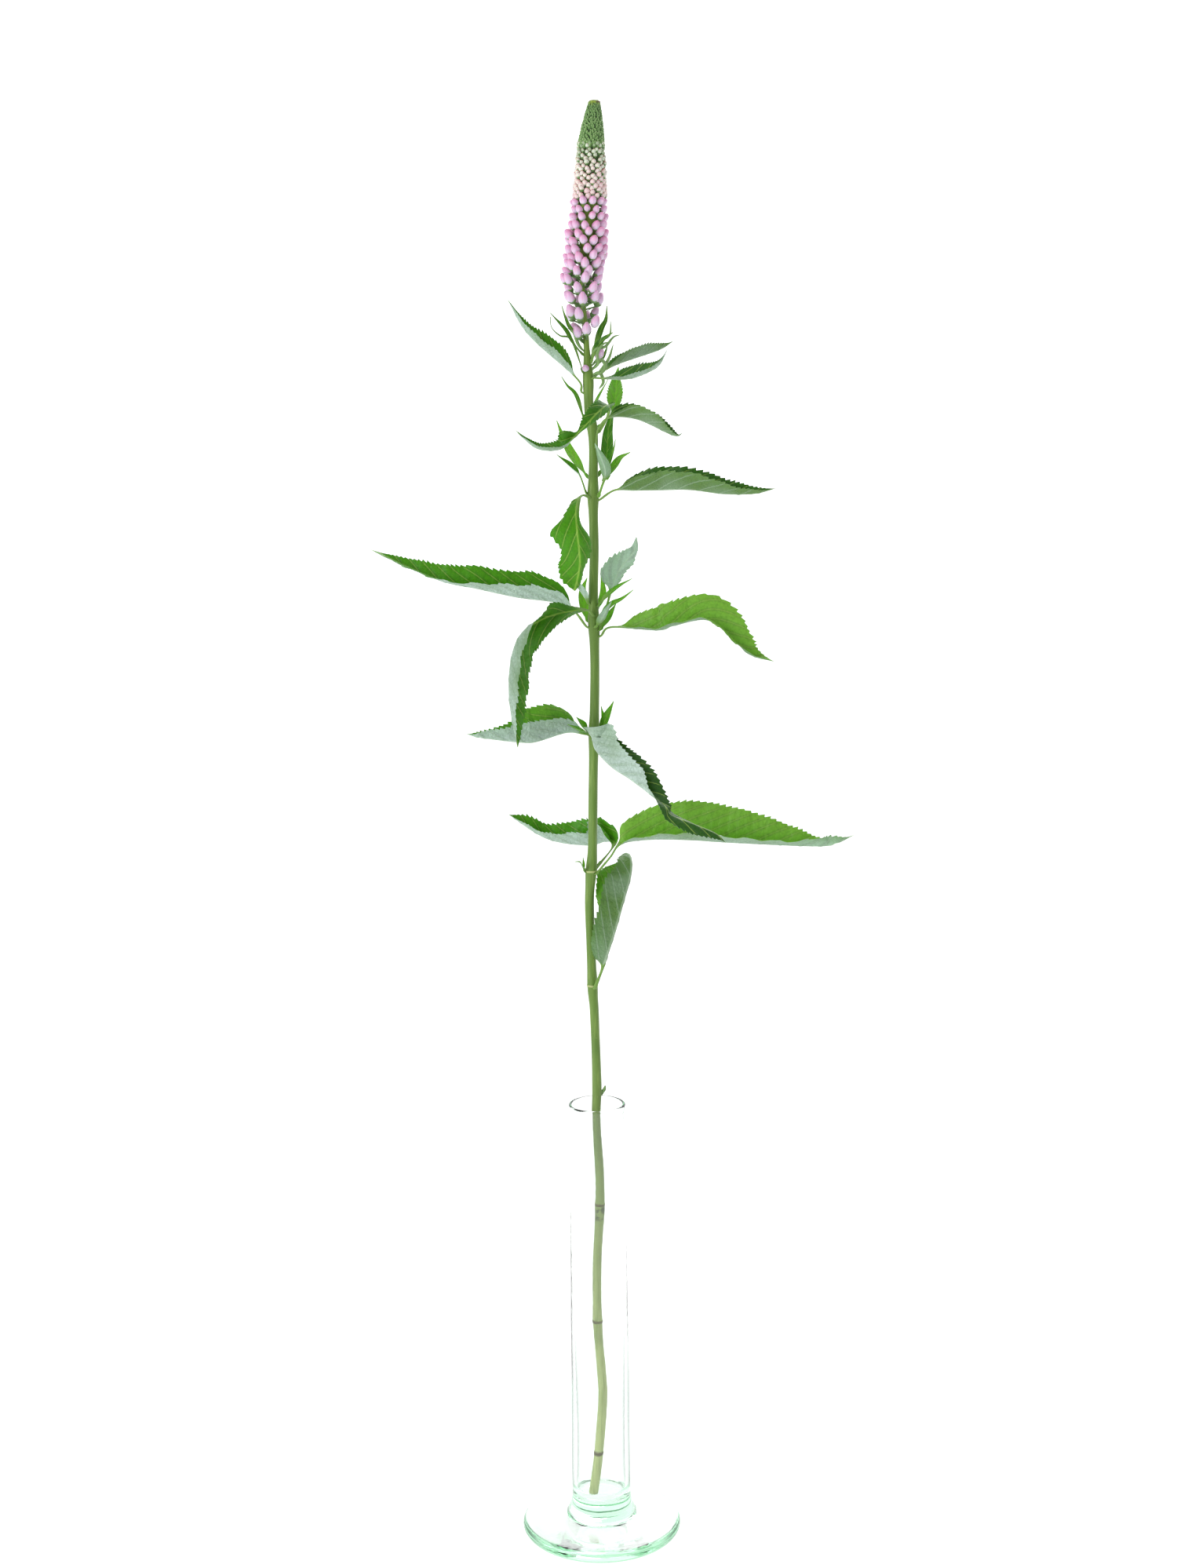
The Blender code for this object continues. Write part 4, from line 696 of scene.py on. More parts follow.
def spline(points, per_span=16):
    """A Catmull-Rom curve through the points, with the same number of steps in each span."""
    points = np.asarray(points, float)
    ends = np.vstack([2 * points[0] - points[1], points, 2 * points[-1] - points[-2]])
    before, start, end, after = (ends[k:len(ends) - 3 + k, None] for k in range(4))
    t = np.linspace(0, 1, per_span, endpoint=False)[None, :, None]
    spans = 0.5 * (2 * start + (end - before) * t + (2 * before - 5 * start + 4 * end - after) * t**2
                   + (3 * start - before - 3 * end + after) * t**3)
    return np.vstack([spans.reshape(-1, points.shape[1]), points[-1:]])


def read_columns(wanted, places, curve):
    """Each column of a curve whose rows lie at given places, read at the wanted places."""
    return np.stack([np.interp(wanted, places, column) for column in curve.T], axis=-1)


def even_steps(curve, count):
    """The curve read at evenly spaced lengths, and those lengths."""
    length = np.r_[0, np.cumsum(np.linalg.norm(np.diff(curve, axis=0), axis=1))]
    wanted = np.linspace(0, length[-1], count)
    return read_columns(wanted, length, curve), wanted


def read_along(values, share):
    """Rows spread evenly along a leaf, read at shares of its length on a smooth curve through them."""
    if len(values) == 1:
        return np.repeat(np.asarray(values, float), len(share), axis=0)
    curve = spline(values)
    return read_columns(share, np.linspace(0, 1, len(curve)), curve)


STEM_CURVE = spline(STEM_ROUTE)


def stem_center(height):
    """The stem's centre at a height or heights."""
    return read_columns(height, STEM_CURVE[:, 2], STEM_CURVE)


def stem_radius(height):
    """Stem radius with a soft swelling at each node, and the thinner axis of the spike above it."""
    height = np.asarray(height, float)
    radius = STEM_RADIUS + sum(extra * np.exp(-(((height - node) / NODE_SPREAD) ** 2))
                               for node, extra in NODE_SWELLING)
    rachis = np.interp(height, [RACHIS_START, STEM_TOP], [RACHIS_RADIUS, RACHIS_TIP_RADIUS])
    return radius + (rachis - radius) * np.clip((height - RACHIS_START + 6) / 10, 0, 1)


def ring(count):
    """Directions evenly spread round a full turn."""
    return np.arange(count) * 2 * math.pi / count


def turned(radius, turn, level):
    """Points at a radius from the axis in a direction, at a level."""
    return np.stack([radius * np.cos(turn), radius * np.sin(turn), level + 0 * radius * turn], axis=-1)


def arc(center, radius, start, end, steps):
    """(radius from the axis, height) points on an arc between two directions in degrees."""
    angle = np.radians(np.linspace(start, end, steps + 1))
    return np.stack([center[0] + radius * np.cos(angle), center[1] + radius * np.sin(angle)], axis=1)


def vase_grid(settings):
    """The vase's section turned about its axis: inner floor, bore, lip, outer wall, collar, foot, underside.

    Each radius swells and shrinks by the waviness times a sum of sines of the direction and the height."""
    foot_radius, _, height = node_box("glass_vase")[1]
    bore, rim, tube, floor, edge, waviness = (size / MM for size in (
        settings.bore_radius, settings.rim_radius, settings.tube_radius, settings.floor_height,
        settings.foot_edge, settings.waviness))
    corner, lip, foot_center = FLOOR_CORNER, (rim - bore) / 2, foot_radius - edge / 2
    inside = np.vstack([
        [(0.4, floor - 0.02), (2.5, floor - 0.05), (bore - corner - 0.5, floor)],
        arc((bore - corner, floor + corner), corner, -90, 0, 10),
        [(bore, z) for z in (26, 34, 44, 56, 70, 90, 110, 135, 160, 185, 196, 198.6, 199.15)]])
    wall = [(rim + extra, z) for extra, z in (
        (0, 199.15), (0, 198.6), (0, 196), (0, 185), (0.05, 150), (0.25, 120), (0.4, 100), (0.5, 75), (0.6, 50))]
    collar = spline([(tube - 0.05, 20), (tube, 16), (13.75, 12.4), (14.6, 9.9), (15.15, 8.5), (16.4, 7.6),
                     (19.5, 7.1), (25, 6.6), (foot_center - 3, 5.6), (foot_center + 0.65, edge - 0.08)], 6)
    section = np.vstack([inside, arc((bore + lip, height - lip), lip, 180, 0, 10), wall,
                         [(tube - 0.08, 34), (tube - 0.04, 24)], collar,
                         arc((foot_center, edge / 2), edge / 2, 68, -90, 14),
                         [(foot_radius - 8, 0.0), (16, 0.12), (6, 0.3), (0.4, 0.3)]])
    turn, radius, level = ring(settings.sides)[None, :], section[:, :1], section[:, 1:]
    wave = np.sin(3 * turn + level / 9) + 0.7 * np.sin(5 * turn - level / 17) + 0.8 * np.sin(2 * turn + level / 31)
    in_bore = np.arange(len(section))[:, None] < len(inside)
    wave = np.where(in_bore, np.sin(2 * turn + level / 13 + 1), wave)
    sway = waviness * wave * ease(radius, 3, 9) * ease(foot_radius - radius, 0.1, 2)
    return turned(radius + sway, turn, level)


def stem_grid(settings):
    """Rings round the stem's route: its radius, plus shallow ribs and a low ridge at each old leaf ring."""
    level = np.sort(np.concatenate([
        np.linspace(STEM_LOW, STEM_TOP, settings.rings),
        *[np.linspace(z - SCAR_REACH * s, z + SCAR_REACH * s, SCAR_ROWS) for z, _, s in SCARS]]))
    level = level[np.r_[True, np.diff(level) > 0.05]]
    scar = sum(np.exp(-(((level - z) / s) ** 2)) for z, _, s in SCARS)
    extra = sum(e * np.exp(-(((level - z) / s) ** 2)) for z, e, s in SCARS)
    radius = stem_radius(level) + extra
    radius[-1] *= 0.5
    turn, twist = ring(settings.sides)[None, :], level[:, None] / 60
    ribs = 1 + settings.rib_depth * (np.cos(4 * turn + twist) + 0.5 * np.cos(9 * turn - twist))
    ribs = ribs + 0.012 * np.sin(level[:, None] / 3.7 + 2 * turn)
    center = stem_center(level)[:, None]
    grid = center + turned(radius[:, None] * ribs, turn, 0)
    grid[..., 2] += (level < STEM_LOW + 0.6)[:, None] * 0.25 * np.cos(turn - 0.6)  # the cut slopes
    end = np.stack([grid[0] * 0.85 + center[0] * 0.15, grid[0] * 0.5 + center[0] * 0.5])
    scar, cut = np.r_[0, 0, scar], np.r_[1, 1, 0.6, np.zeros(len(level) - 1)]
    return np.concatenate([end[::-1], grid]), {"scar": scar[None, :, None], "cut": cut[None, :, None]}


def lance_blade(width, stalk, fold):
    """Blade rows of a leaflet: a bare stalk, widest a little below the middle, running out to a point."""
    place = np.linspace(0, 1, 7)
    half = np.maximum(width / 2 * np.maximum(np.sin(math.pi * place**0.66), 0) ** 1.1, 0.15)
    half[0] = min(0.6, width * 0.2)
    return [(stalk + (1 - stalk) * p, h, fold, h, fold) for p, h in zip(place, half)]


def blade_halves(rows, share):
    """Half width and lift in radians of each half of a blade, at shares of its length."""
    rows = spline(np.vstack([[0, *rows[0][1:]], rows]), 12)
    floor = TIP_HALF_WIDTH + (PETIOLE_HALF_WIDTH - TIP_HALF_WIDTH) * (share < PETIOLE_END)
    read = read_columns(share, np.maximum.accumulate(rows[:, 0]), rows[:, 1:])
    return [(np.maximum(read[:, k], floor), np.radians(read[:, k + 1])) for k in (0, 2)]


def seat_points(seat, toward):
    """The leaf's first point just clear of what carries it, and a point inside that."""
    if len(seat) == 3:
        start = np.array(seat, float)
        return start, start - 1.4 * unit(np.array(toward, float) - start)
    height, direction = seat
    outward = turned(1.0, math.radians(direction), 0)
    center, radius = stem_center(height), float(stem_radius(height))
    return center + (radius + SEAT_GAP) * outward, center + (radius - 1.1) * outward - np.array([0, 0, 0.9])


Spine = namedtuple("Spine", "points along share forward up across")


def leaf_spine(seat, route, faces, step):
    """The midrib: even steps on a smooth curve through the route, from inside what carries the leaf.

    forward runs along it and is smoothed, up is the face it looks in, less what lies along it, and across
    stands on both."""
    start, inside = seat_points(seat, route[0])
    curve = spline([start, *route], 24)
    length = float(np.sum(np.linalg.norm(np.diff(curve, axis=0), axis=1)))
    points, along = even_steps(curve, int(length / step) + 8)
    root = inside + (start - inside) * np.linspace(0, 1, ROOT_ROWS, endpoint=False)[:, None]
    points = np.vstack([root, points])
    along = np.r_[np.linspace(-ROOT_DEPTH, 0, ROOT_ROWS, endpoint=False), along]
    share = np.clip(along / length, 0, 1)
    forward = np.gradient(points, axis=0)
    for _ in range(3):
        forward[1:-1] = (forward[:-2] + 2 * forward[1:-1] + forward[2:]) / 4
    forward = unit(forward)
    up = read_along(faces, share)
    up = unit(up - np.sum(up * forward, axis=1, keepdims=True) * forward)
    return Spine(points, along, share, forward, up, np.cross(forward, up))


def leaf_half(settings, spine, sign, half, lift, v, largest, teeth, draw):
    """One half of a leaf: its points, the distance from the midrib, side veins, their grooves and half width.

    v runs from the midrib to the margin. The half leaves the midrib level, turns up within the fold radius to
    its lift, and flattens out towards the margin: its height and its reach are running sums of the sine and
    the cosine of that turn. A wave along the margin, a groove over each side vein and saw teeth that lean
    towards the tip are added to it."""
    size = min(1.0, largest / FULL_SIZE)
    s = spine.along[:, None]
    half, lift = (half * (1 + 0.12 * np.exp(-np.maximum(spine.along, 0) / 1.2)))[:, None], lift[:, None]
    reach = half * v
    curl = math.radians(settings.curl) * np.clip(half / 7, 0, 1)
    turn = (lift + curl * (0.5 - v)) * (1 - np.exp(-reach / (0.25 + 0.4 * size)))
    middle, step = (turn[:, 1:] + turn[:, :-1]) / 2, np.diff(reach, axis=1)
    out, rise = (np.concatenate([0 * half, np.cumsum(side(middle) * step, axis=1)], axis=1)
                 for side in (np.cos, np.sin))

    phase = draw.uniform(0, 2 * math.pi, 3)
    pace = 0.5 + 0.5 * size
    wave = settings.margin_wave / MM * size * np.clip(half / 6, 0, 1) * v**2 * (
        np.sin(2 * math.pi * s / (12.5 * pace) + phase[0])
        + 0.25 * np.sin(2 * math.pi * s / (5.3 * pace) + phase[1]))
    spacing = settings.vein_spacing / MM * (0.45 + 0.55 * size)
    vein = (s - VEIN_SLANT * reach - VEIN_BEND * reach * v) / spacing + (0.4 if sign < 0 else 0.0)
    groove = np.exp(-(((vein - np.round(vein)) / 0.11) ** 2)) * np.sin(math.pi * np.clip(v, 0, 1) ** 0.8) ** 0.5
    groove = groove * ease(half, 1.2, 3)
    bulge = wave - settings.vein_depth / MM * size * groove
    points = (spine.points[:, None] + sign * (out - np.sin(turn) * bulge)[..., None] * spine.across[:, None]
              + (rise + np.cos(turn) * bulge)[..., None] * spine.up[:, None])

    width = half[:, 0]
    tooth = settings.tooth_spacing / MM * float(np.clip(largest / 10, 0.55, 1))
    count = np.cumsum(np.gradient(spine.along) / (tooth * (0.5 + 0.5 * width / half.max())))
    count = count + 0.25 * np.sin(spine.along / 9 + phase[2])
    part = count - np.floor(count)
    saw = np.where(part < TOOTH_BACK, part / TOOTH_BACK, (1 - part) / TOOTH_FRONT)
    depth = (settings.tooth_depth / MM * teeth * np.clip(width / 5, 0, 1)
             * ease(width, 1.0, 2.5) * (0.75 + 0.25 * np.sin(7.3 * np.floor(count) + phase[0])))
    outward = unit(points[:, -1] - points[:, -2])
    points[:, -1] += (depth * (saw - 0.45))[:, None] * outward + (0.75 * depth * saw)[:, None] * spine.forward
    points[:, -2] += (0.3 * depth * (saw - 0.45))[:, None] * outward
    return points, reach, v * np.ones_like(reach), vein, groove, half * np.ones_like(v)


def leaf_grid(settings, leaf, step, shares, teeth, draw):
    """A folded, toothed leaf as a closed skin round its upper and lower sides.

    Two halves meet at the midrib, and both sides lie half a thickness from them, with a ridge under the midrib
    and the side veins and a round stalk below the blade."""
    spine = leaf_spine(leaf.seat, leaf.route, leaf.faces, step / MM)
    largest = max(max(row[1], row[3]) for row in leaf.blade)
    size = min(1.0, largest / FULL_SIZE)
    v, share = shares[None, :], spine.share[:, None]
    halves = [leaf_half(settings, spine, sign, half, lift, v, largest, teeth, draw)
              for sign, (half, lift) in zip((1, -1), blade_halves(leaf.blade, spine.share))]
    sheet, reach, v, vein, groove, half = (
        np.concatenate([left[:, :0:-1], right], axis=1) for right, left in zip(*halves))
    normal = unit(np.cross(np.gradient(sheet, axis=1), np.gradient(sheet, axis=0)))
    stalk = 1 - ease(half, 1.0, 2.6)
    end = np.clip((1 - spine.share) / 0.03, 0.3, 1)[:, None]
    thin = settings.thickness / MM / 2 * (0.6 + 0.4 * size) * (1 - 0.6 * v**2)
    ridge = size * (0.1 + 0.38 * (1 - share) ** 0.8) * np.exp(-((reach / 0.42) ** 2)) * (1 - stalk)
    swell = 0.45 * min(1.0, 0.25 + size) * stalk * (1 - 0.75 * v**2) * (1 - ease(share, 0.45, 0.7))
    above = (thin + 0.35 * swell) * end - 0.3 * ridge
    below = (thin + ridge + swell + 0.07 * size * groove) * end
    top, bottom = sheet + above[..., None] * normal, sheet - below[..., None] * normal

    def both(upper, lower):
        """Values of the upper side, then those of the lower side taken backwards."""
        return np.concatenate([upper, lower[:, ::-1]], axis=1)

    stem_like = stalk * (1 - ease(share, 0.3, 0.5))
    values = {"across": reach, "share": v, "vein": vein, "stalk": stem_like}
    fields = {"side": both(np.ones_like(v), np.zeros_like(v))[None],
              **{name: both(value, value)[None] for name, value in values.items()}}
    columns = sheet.shape[1]
    return both(top, bottom), fields, (0, columns - 1, columns, 2 * columns - 1)


def add_leaf(name, leaf, settings, step, shares, seed, kind, teeth=1.0):
    """A leaf as a piece, in the material of its kind, which the first leaf of that kind makes."""
    material = bpy.data.materials.get(f"{kind}_blade") or leaf_material(f"{kind}_blade", settings, kind != "leaf")
    grid, fields, sharp = leaf_grid(settings, leaf, step, shares, teeth, np.random.default_rng(seed))
    fields["fresh"], fields["under"] = leaf.fresh, leaf.under
    add_piece(f"{name}_blade", grid, material, [name], fields, sharp)


Buds = namedtuple("Buds", "base axis flank other length width")


def place_buds(center, height, direction, tilt, reach, length, width, sunk, least=0.0):
    """Buds that lean out by tilt, with their tips at a reach from their centres; the share sunk of each bud's
    rise lies below its height, and no base comes nearer the axis than least. Angles are in radians."""
    outward = turned(1.0, direction, 0)
    axis = outward * np.sin(tilt)[:, None] + UPRIGHT * np.cos(tilt)[:, None]
    flank = np.stack([-np.sin(direction), np.cos(direction), 0 * direction], axis=-1)
    base = center + outward * np.maximum(reach - length * np.sin(tilt), least)[:, None]
    base[:, 2] = height - length * np.cos(tilt) * sunk
    return Buds(base, axis, flank, np.cross(axis, flank), length, width)


def around(angle, flank, other):
    """Directions round the axes of a row of pieces."""
    return np.cos(angle)[None, :, None] * flank[:, None, :] + np.sin(angle)[None, :, None] * other[:, None, :]


def oval(spine, reach, flank, thick, columns=6):
    """Flat ovals across spines, as wide as reach each way along flank and 0.3 of that along thick."""
    angle = ring(columns)
    return (spine[..., None, :] + (reach * np.cos(angle))[..., None] * flank
            + (0.3 * reach * np.sin(angle))[..., None] * thick)


def egg_grid(buds, rows, columns, point=0.85, lobes=0.05):
    """Eggs from a base along an axis: radius is half the width times a power of sin(pi t^point), with four
    shallow lobes round it. Also how far along and how far on top each point lies, and the seams' count."""
    t = (np.arange(rows) + 0.6) / (rows + 0.2)
    angle = ring(columns)
    profile = np.sin(math.pi * t**point) ** 0.75
    wave = 1 + lobes * np.cos(4 * angle)[None, :] * np.sin(math.pi * t)[:, None] ** 2
    radius, radial = profile[:, None] * wave, around(angle, buds.flank, buds.other)
    grid = (buds.base[:, None, None]
            + (buds.length[:, None] * t)[:, :, None, None] * buds.axis[:, None, None]
            + (buds.width[:, None, None] / 2 * radius[None])[..., None] * radial[:, None])
    blush = 0.5 + 0.5 * (radial[:, None, :, 2] * profile[None, :, None]
                         + (t - 0.4)[None, :, None] * buds.axis[:, None, None, 2])
    return grid, {"along": t[None, :, None], "blush": blush, "seam": (angle * 2 / math.pi)[None, None, :]}


def cup_grid(buds):
    """A thin closed cup round a bud's base with four pointed lobes: the height of its rim follows the
    direction. Also how far along it each point lies."""
    rim = np.tile([1.0, 0.5, 0.5], 4)
    levels = np.array([0.1, 0.4, 0.75, 1.0, 0.97, 0.4])
    wall = np.array([0.04, 0.08, 0.1, 0.08, 0.02, 0.0])
    t = levels[:, None] * (0.12 + 0.2 * rim[None, :])
    radius, radial = np.sin(math.pi * t**0.85) ** 0.75, around(ring(len(rim)), buds.flank, buds.other)
    reach = buds.width[:, None, None] / 2 * radius[None] + (wall * 2.2 + 0.05)[None, :, None]
    grid = (buds.base[:, None, None] + (buds.length[:, None, None] * t[None])[..., None] * buds.axis[:, None, None]
            + reach[..., None] * radial[:, None])
    return grid, np.broadcast_to(levels[None, :, None] * (0.45 + 0.5 * rim), grid.shape[:3])


def spear_grid(base, axis, flank, length, width, bow, rows=5):
    """Narrow pointed bracts: flat ovals whose width runs out to a point, bent upwards by bow. Also how far
    along each point lies."""
    t = (np.arange(rows) + 0.4) / (rows - 0.4)
    taper = (1 - t**1.6) * (0.45 + 0.55 * np.sin(math.pi * np.clip(t * 1.4, 0, 1))) + 0.06
    spine = (base[:, None] + (length[:, None] * t)[..., None] * axis[:, None]
             + (bow[:, None] * t**2)[..., None] * UPRIGHT)
    grid = oval(spine, width[:, None, None] / 2 * taper[None, :, None], flank[:, None, None],
                np.cross(axis, flank)[:, None, None])
    return grid, np.broadcast_to(t[None, :, None], grid.shape[:3])


def strip_grid(route, width, rows=18):
    """A thin flat strip along a smooth route: an oval across it that runs out to a point at its end."""
    spine, _ = even_steps(spline(route), rows)
    forward = unit(np.gradient(spine, axis=0))
    flank = unit(np.cross(forward, np.array([0.25, -1.0, 0.35])))
    share = np.linspace(0, 1, rows)[:, None] * 0.96 + 0.04
    reach = width / 2 * (0.12 + np.sin(math.pi * np.clip(share, 0, 1)) ** 0.7)
    return oval(spine, reach, flank[:, None], np.cross(forward, flank)[:, None])


def pin_grid(start, end, radius):
    """Thin round stalks between pairs of points."""
    t, along = np.array([0.0, 0.5, 1.0]), unit(end - start)
    side = unit(np.cross(along, UPRIGHT + 0.01))
    radial = around(ring(6), side, np.cross(along, side))
    return start[:, None, None] + (end - start)[:, None, None] * t[:, None, None] + radius * radial[:, None]


def ring_buds(bud_ring, draw):
    """The buds of a ring, turned on in even steps from its start and by turns above and below its height.

    Turn, height, tilt, size and reach are each loosened by a random share."""
    count = bud_ring.buds
    steps, index = count if bud_ring.turn == 360 else max(count - 1, 1), np.arange(count)
    direction = np.radians(bud_ring.start + bud_ring.turn / steps * index + draw.uniform(-5, 5, count))
    height = bud_ring.height + bud_ring.rise * np.where(index % 2 == 0, 1, -1) + draw.uniform(-0.5, 0.5, count)
    tilt = np.radians(bud_ring.tilt + draw.uniform(-9, 9, count))
    size = draw.uniform(0.9, 1.08, count)
    length, width, sunk = bud_ring.length * size, bud_ring.width * size, 0.55
    center = stem_center(height - length * np.cos(tilt) * sunk)
    return place_buds(center, height, direction, tilt, bud_ring.reach - draw.uniform(0, 0.7, count), length,
                      width, sunk, least=1.3)


def staggered(rows, places, twist, loose, draw):
    """Rows of buds round the axis, each row half a step on from the one below it and turned on by twist:
    every bud's row and its direction in radians, loosened by a random turn."""
    row, place = (values.ravel() for values in np.meshgrid(np.arange(rows), np.arange(places), indexing="ij"))
    turn = 2 * math.pi * (place + 0.5 * (row % 2) + twist * row) / places
    return row, turn + draw.uniform(-loose, loose, len(row))


# Settings


def metres(name, description, default):
    """A size in metres."""
    return FloatProperty(name=name, description=description, unit="LENGTH", default=default)


def paint(name, description, default):
    """A linear colour."""
    return FloatVectorProperty(name=name, description=description, subtype="COLOR", default=default)


def number(name, description, default, **more):
    """A plain number, a share or a power."""
    return FloatProperty(name=name, description=description, default=default, **more)


def whole(name, description, default):
    """A count."""
    return IntProperty(name=name, description=description, default=default)


class VaseSettings(bpy.types.PropertyGroup):
    """Sizes and tints of the vase"""

    bore_radius: metres("Bore radius", "Half the width of the hollow", 0.0112)
    rim_radius: metres("Rim radius", "Half the width across the mouth", 0.0125)
    tube_radius: metres("Tube radius", "Half the width of the tube just above its foot", 0.0133)
    floor_height: metres("Floor height", "Height of the inner floor", 0.0165)
    foot_edge: metres("Foot edge", "Thickness of the foot at its rim", 0.005)
    waviness: metres("Waviness", "How far the wall strays from a true circle", 0.00008)
    ripple: metres("Ripple", "Depth of the fine ripple in the surface", 0.00012)
    sides: whole("Sides", "Steps round the vase", 128)
    # painted shade that darkens the low tube where it is seen edge on
    edge_shade_color: paint("Edge color", "Tint where the low tube is seen edge on", (0.08, 0.15, 0.12))
    surface_color: paint("Surface color", "Tint that the surface gives", (0.985, 1.0, 0.992))
    depth_color: paint("Depth color", "Tint that thickness gives", (0.36, 0.86, 0.54))
    depth_density: number("Depth density", "How fast thickness tints the glass", 14.0)


class StemSettings(bpy.types.PropertyGroup):
    """Steps and colours of the stem"""

    rings: whole("Rings", "Sections along the stem", 330)
    sides: whole("Sides", "Steps round the stem", 28)
    rib_depth: number("Rib depth", "Depth of the ribs as a share of the radius", 0.016)
    color: paint("Color", "Skin above the vase", tint(98, 132, 50))
    low_color: paint("Low color", "Skin inside the vase", tint(212, 228, 154))
    spike_color: paint("Spike color", "Axis of the spike", tint(126, 158, 58))
    streak_color: paint("Streak color", "Fine streaks", tint(140, 168, 84))
    dark_color: paint("Dark color", "Darker patches", tint(72, 110, 38))
    scar_color: paint("Scar color", "Old leaf rings, dots and the cut end", tint(184, 192, 130))
    bruise_color: paint("Bruise color", "Dark patch on the stem", tint(66, 76, 60))
    brown_color: paint("Brown color", "Dried spots at the lowest rings", tint(96, 88, 56))


class LeafSettings(bpy.types.PropertyGroup):
    """Relief and colours of the leaves"""

    step: metres("Step", "Length of a step along a toothed leaf", 0.0004)
    young_step: metres("Young step", "Length of a step along a small leaf", 0.0006)
    thickness: metres("Thickness", "Blade thickness beside the midrib", 0.00024)
    curl: number("Curl", "How much a half flattens out, in degrees", 30.0)
    margin_wave: metres("Margin wave", "Rise and fall of the margin", 0.0004)
    vein_spacing: metres("Vein spacing", "Between side veins", 0.0088)
    vein_depth: metres("Vein depth", "Depth of the groove over a side vein", 0.00036)
    tooth_spacing: metres("Tooth spacing", "Between teeth", 0.003)
    tooth_depth: metres("Tooth depth", "How far a tooth stands out", 0.0012)
    # upper side of the deepest leaves, and also the painted shade of the creases and vein bands above
    deep_green_and_shade_color: paint("Deep color", "Upper side of the oldest leaves", tint(34, 80, 22))
    vivid_color: paint("Vivid color", "Upper side of leaves of middle age", tint(74, 150, 0))
    fresh_color: paint("Fresh color", "Upper side of the freshest leaves", tint(138, 190, 70))
    vein_color: paint("Vein color", "Veins on the upper side", tint(170, 206, 90))
    # pale underside, lightened with a painted sheen as well as its own pale colour
    pale_under_and_sheen_color: paint("Under color", "Underside of the oldest leaves", tint(200, 222, 212))
    under_fresh_color: paint("Under fresh color", "Underside of fresh leaves", tint(102, 138, 70))
    under_vein_color: paint("Under vein color", "Veins on the underside", tint(206, 224, 200))
    # painted shade for the underside's creases, vein bands and fine net
    crease_shade_color: paint("Crease color", "Creases of the underside", tint(92, 130, 88))
    stalk_color: paint("Stalk color", "Leaf stalks", tint(128, 162, 82))
    light_color: paint("Light color", "Light that comes through a leaf", tint(150, 214, 24))
    light_share: number("Light share", "How much light a leaf lets through", 0.36, subtype="FACTOR",
                        min=0, max=1)
    young_light_color: paint("Young light color", "Light through a small leaf", tint(164, 232, 18))
    young_light_share: number("Young light share", "How much light a small leaf lets through", 0.45,
                              subtype="FACTOR", min=0, max=1)


class SpikeSettings(bpy.types.PropertyGroup):
    """Rows and colours of the flower spike"""

    pale_rows: whole("Pale rows", "Rows of small pale buds", 17)
    pale_around: whole("Pale buds around", "Small pale buds in a row", 12)
    tip_rows: whole("Tip rows", "Rows of scales on the tip", 30)
    tip_around: whole("Tip scales around", "Scales in a row of the tip", 20)
    petal_pale: paint("Petal pale", "Shaded side of a bud", tint(224, 212, 232))
    petal_lilac: paint("Petal lilac", "Upper side of the lowest buds", tint(222, 184, 218))
    petal_pink: paint("Petal pink", "Upper side of the upper buds", tint(232, 164, 204))
    petal_deep: paint("Petal deep", "Tips and seams", tint(220, 122, 164))
    cream_color: paint("Cream", "Small buds", tint(226, 232, 216))
    cream_pink: paint("Cream pink", "Pinker small buds", tint(234, 204, 208))
    coral_color: paint("Coral", "Upper edge of small buds", tint(212, 124, 130))
    calyx_color: paint("Calyx", "Green base of a bud", tint(104, 146, 82))
    # painted shade in the gaps between scales and at the base of every scale, cup and bract
    scale_gap_shade: paint("Scale dark", "Gaps between scales", tint(62, 98, 48))
    scale_color: paint("Scale", "Scales and cups", tint(104, 146, 76))
    # paler tips, with a painted highlight on them
    pale_tip_and_highlight: paint("Scale tip", "Points of the scales", tint(186, 212, 150))
    crown_color: paint("Crown", "Bright end of the tip", tint(134, 158, 50))
    crown_brown: paint("Crown brown", "Bruised edge of the tip", tint(110, 96, 62))


class StageSettings(bpy.types.PropertyGroup):
    """Floor, lights and camera"""

    floor_radius: metres("Floor radius", "Half the width of the floor", 6.0)
    floor_color: paint("Floor color", "White paper, shown lit by itself", (0.14, 0.14, 0.14))
    floor_mottle: paint("Floor mottle", "Its faint mottle", (0.17, 0.17, 0.17))
    floor_glow: number("Floor glow", "Light that the floor gives", 1.05)
    sky: number("Surround", "Brightness of the white surround", 1.35)
    dim: number("Dim side", "Brightness of the side behind the viewer", 0.4)
    key: number("Key light", "Power of the large front light", 13.0, unit="POWER")
    back: number("Back light", "Power of the large back light", 14.0, unit="POWER")
    distance: metres("Viewing distance", "From the vase's axis to the camera", 0.927)
    eye_height: metres("Eye height", "Height of the camera", 0.4948)
    pitch: number("Pitch", "How far the camera looks down, in degrees", 9.3)
    roll: number("Roll", "How far the camera leans, in degrees", 0.7)


GROUPS = {"speedwell_vase": VaseSettings, "speedwell_stem": StemSettings, "speedwell_leaf": LeafSettings,
          "speedwell_spike": SpikeSettings, "speedwell_stage": StageSettings}


# Operators


class BuildVase(bpy.types.Operator):
    """Build the footed glass tube vase"""

    bl_idname = "speedwell.build_vase"
    bl_label = "Vase"

    def execute(self, context):
        settings = context.scene.speedwell_vase
        add_piece("glass_vase_blown", vase_grid(settings), glass_material(settings),
                  ["glass_vase"])
        return {"FINISHED"}


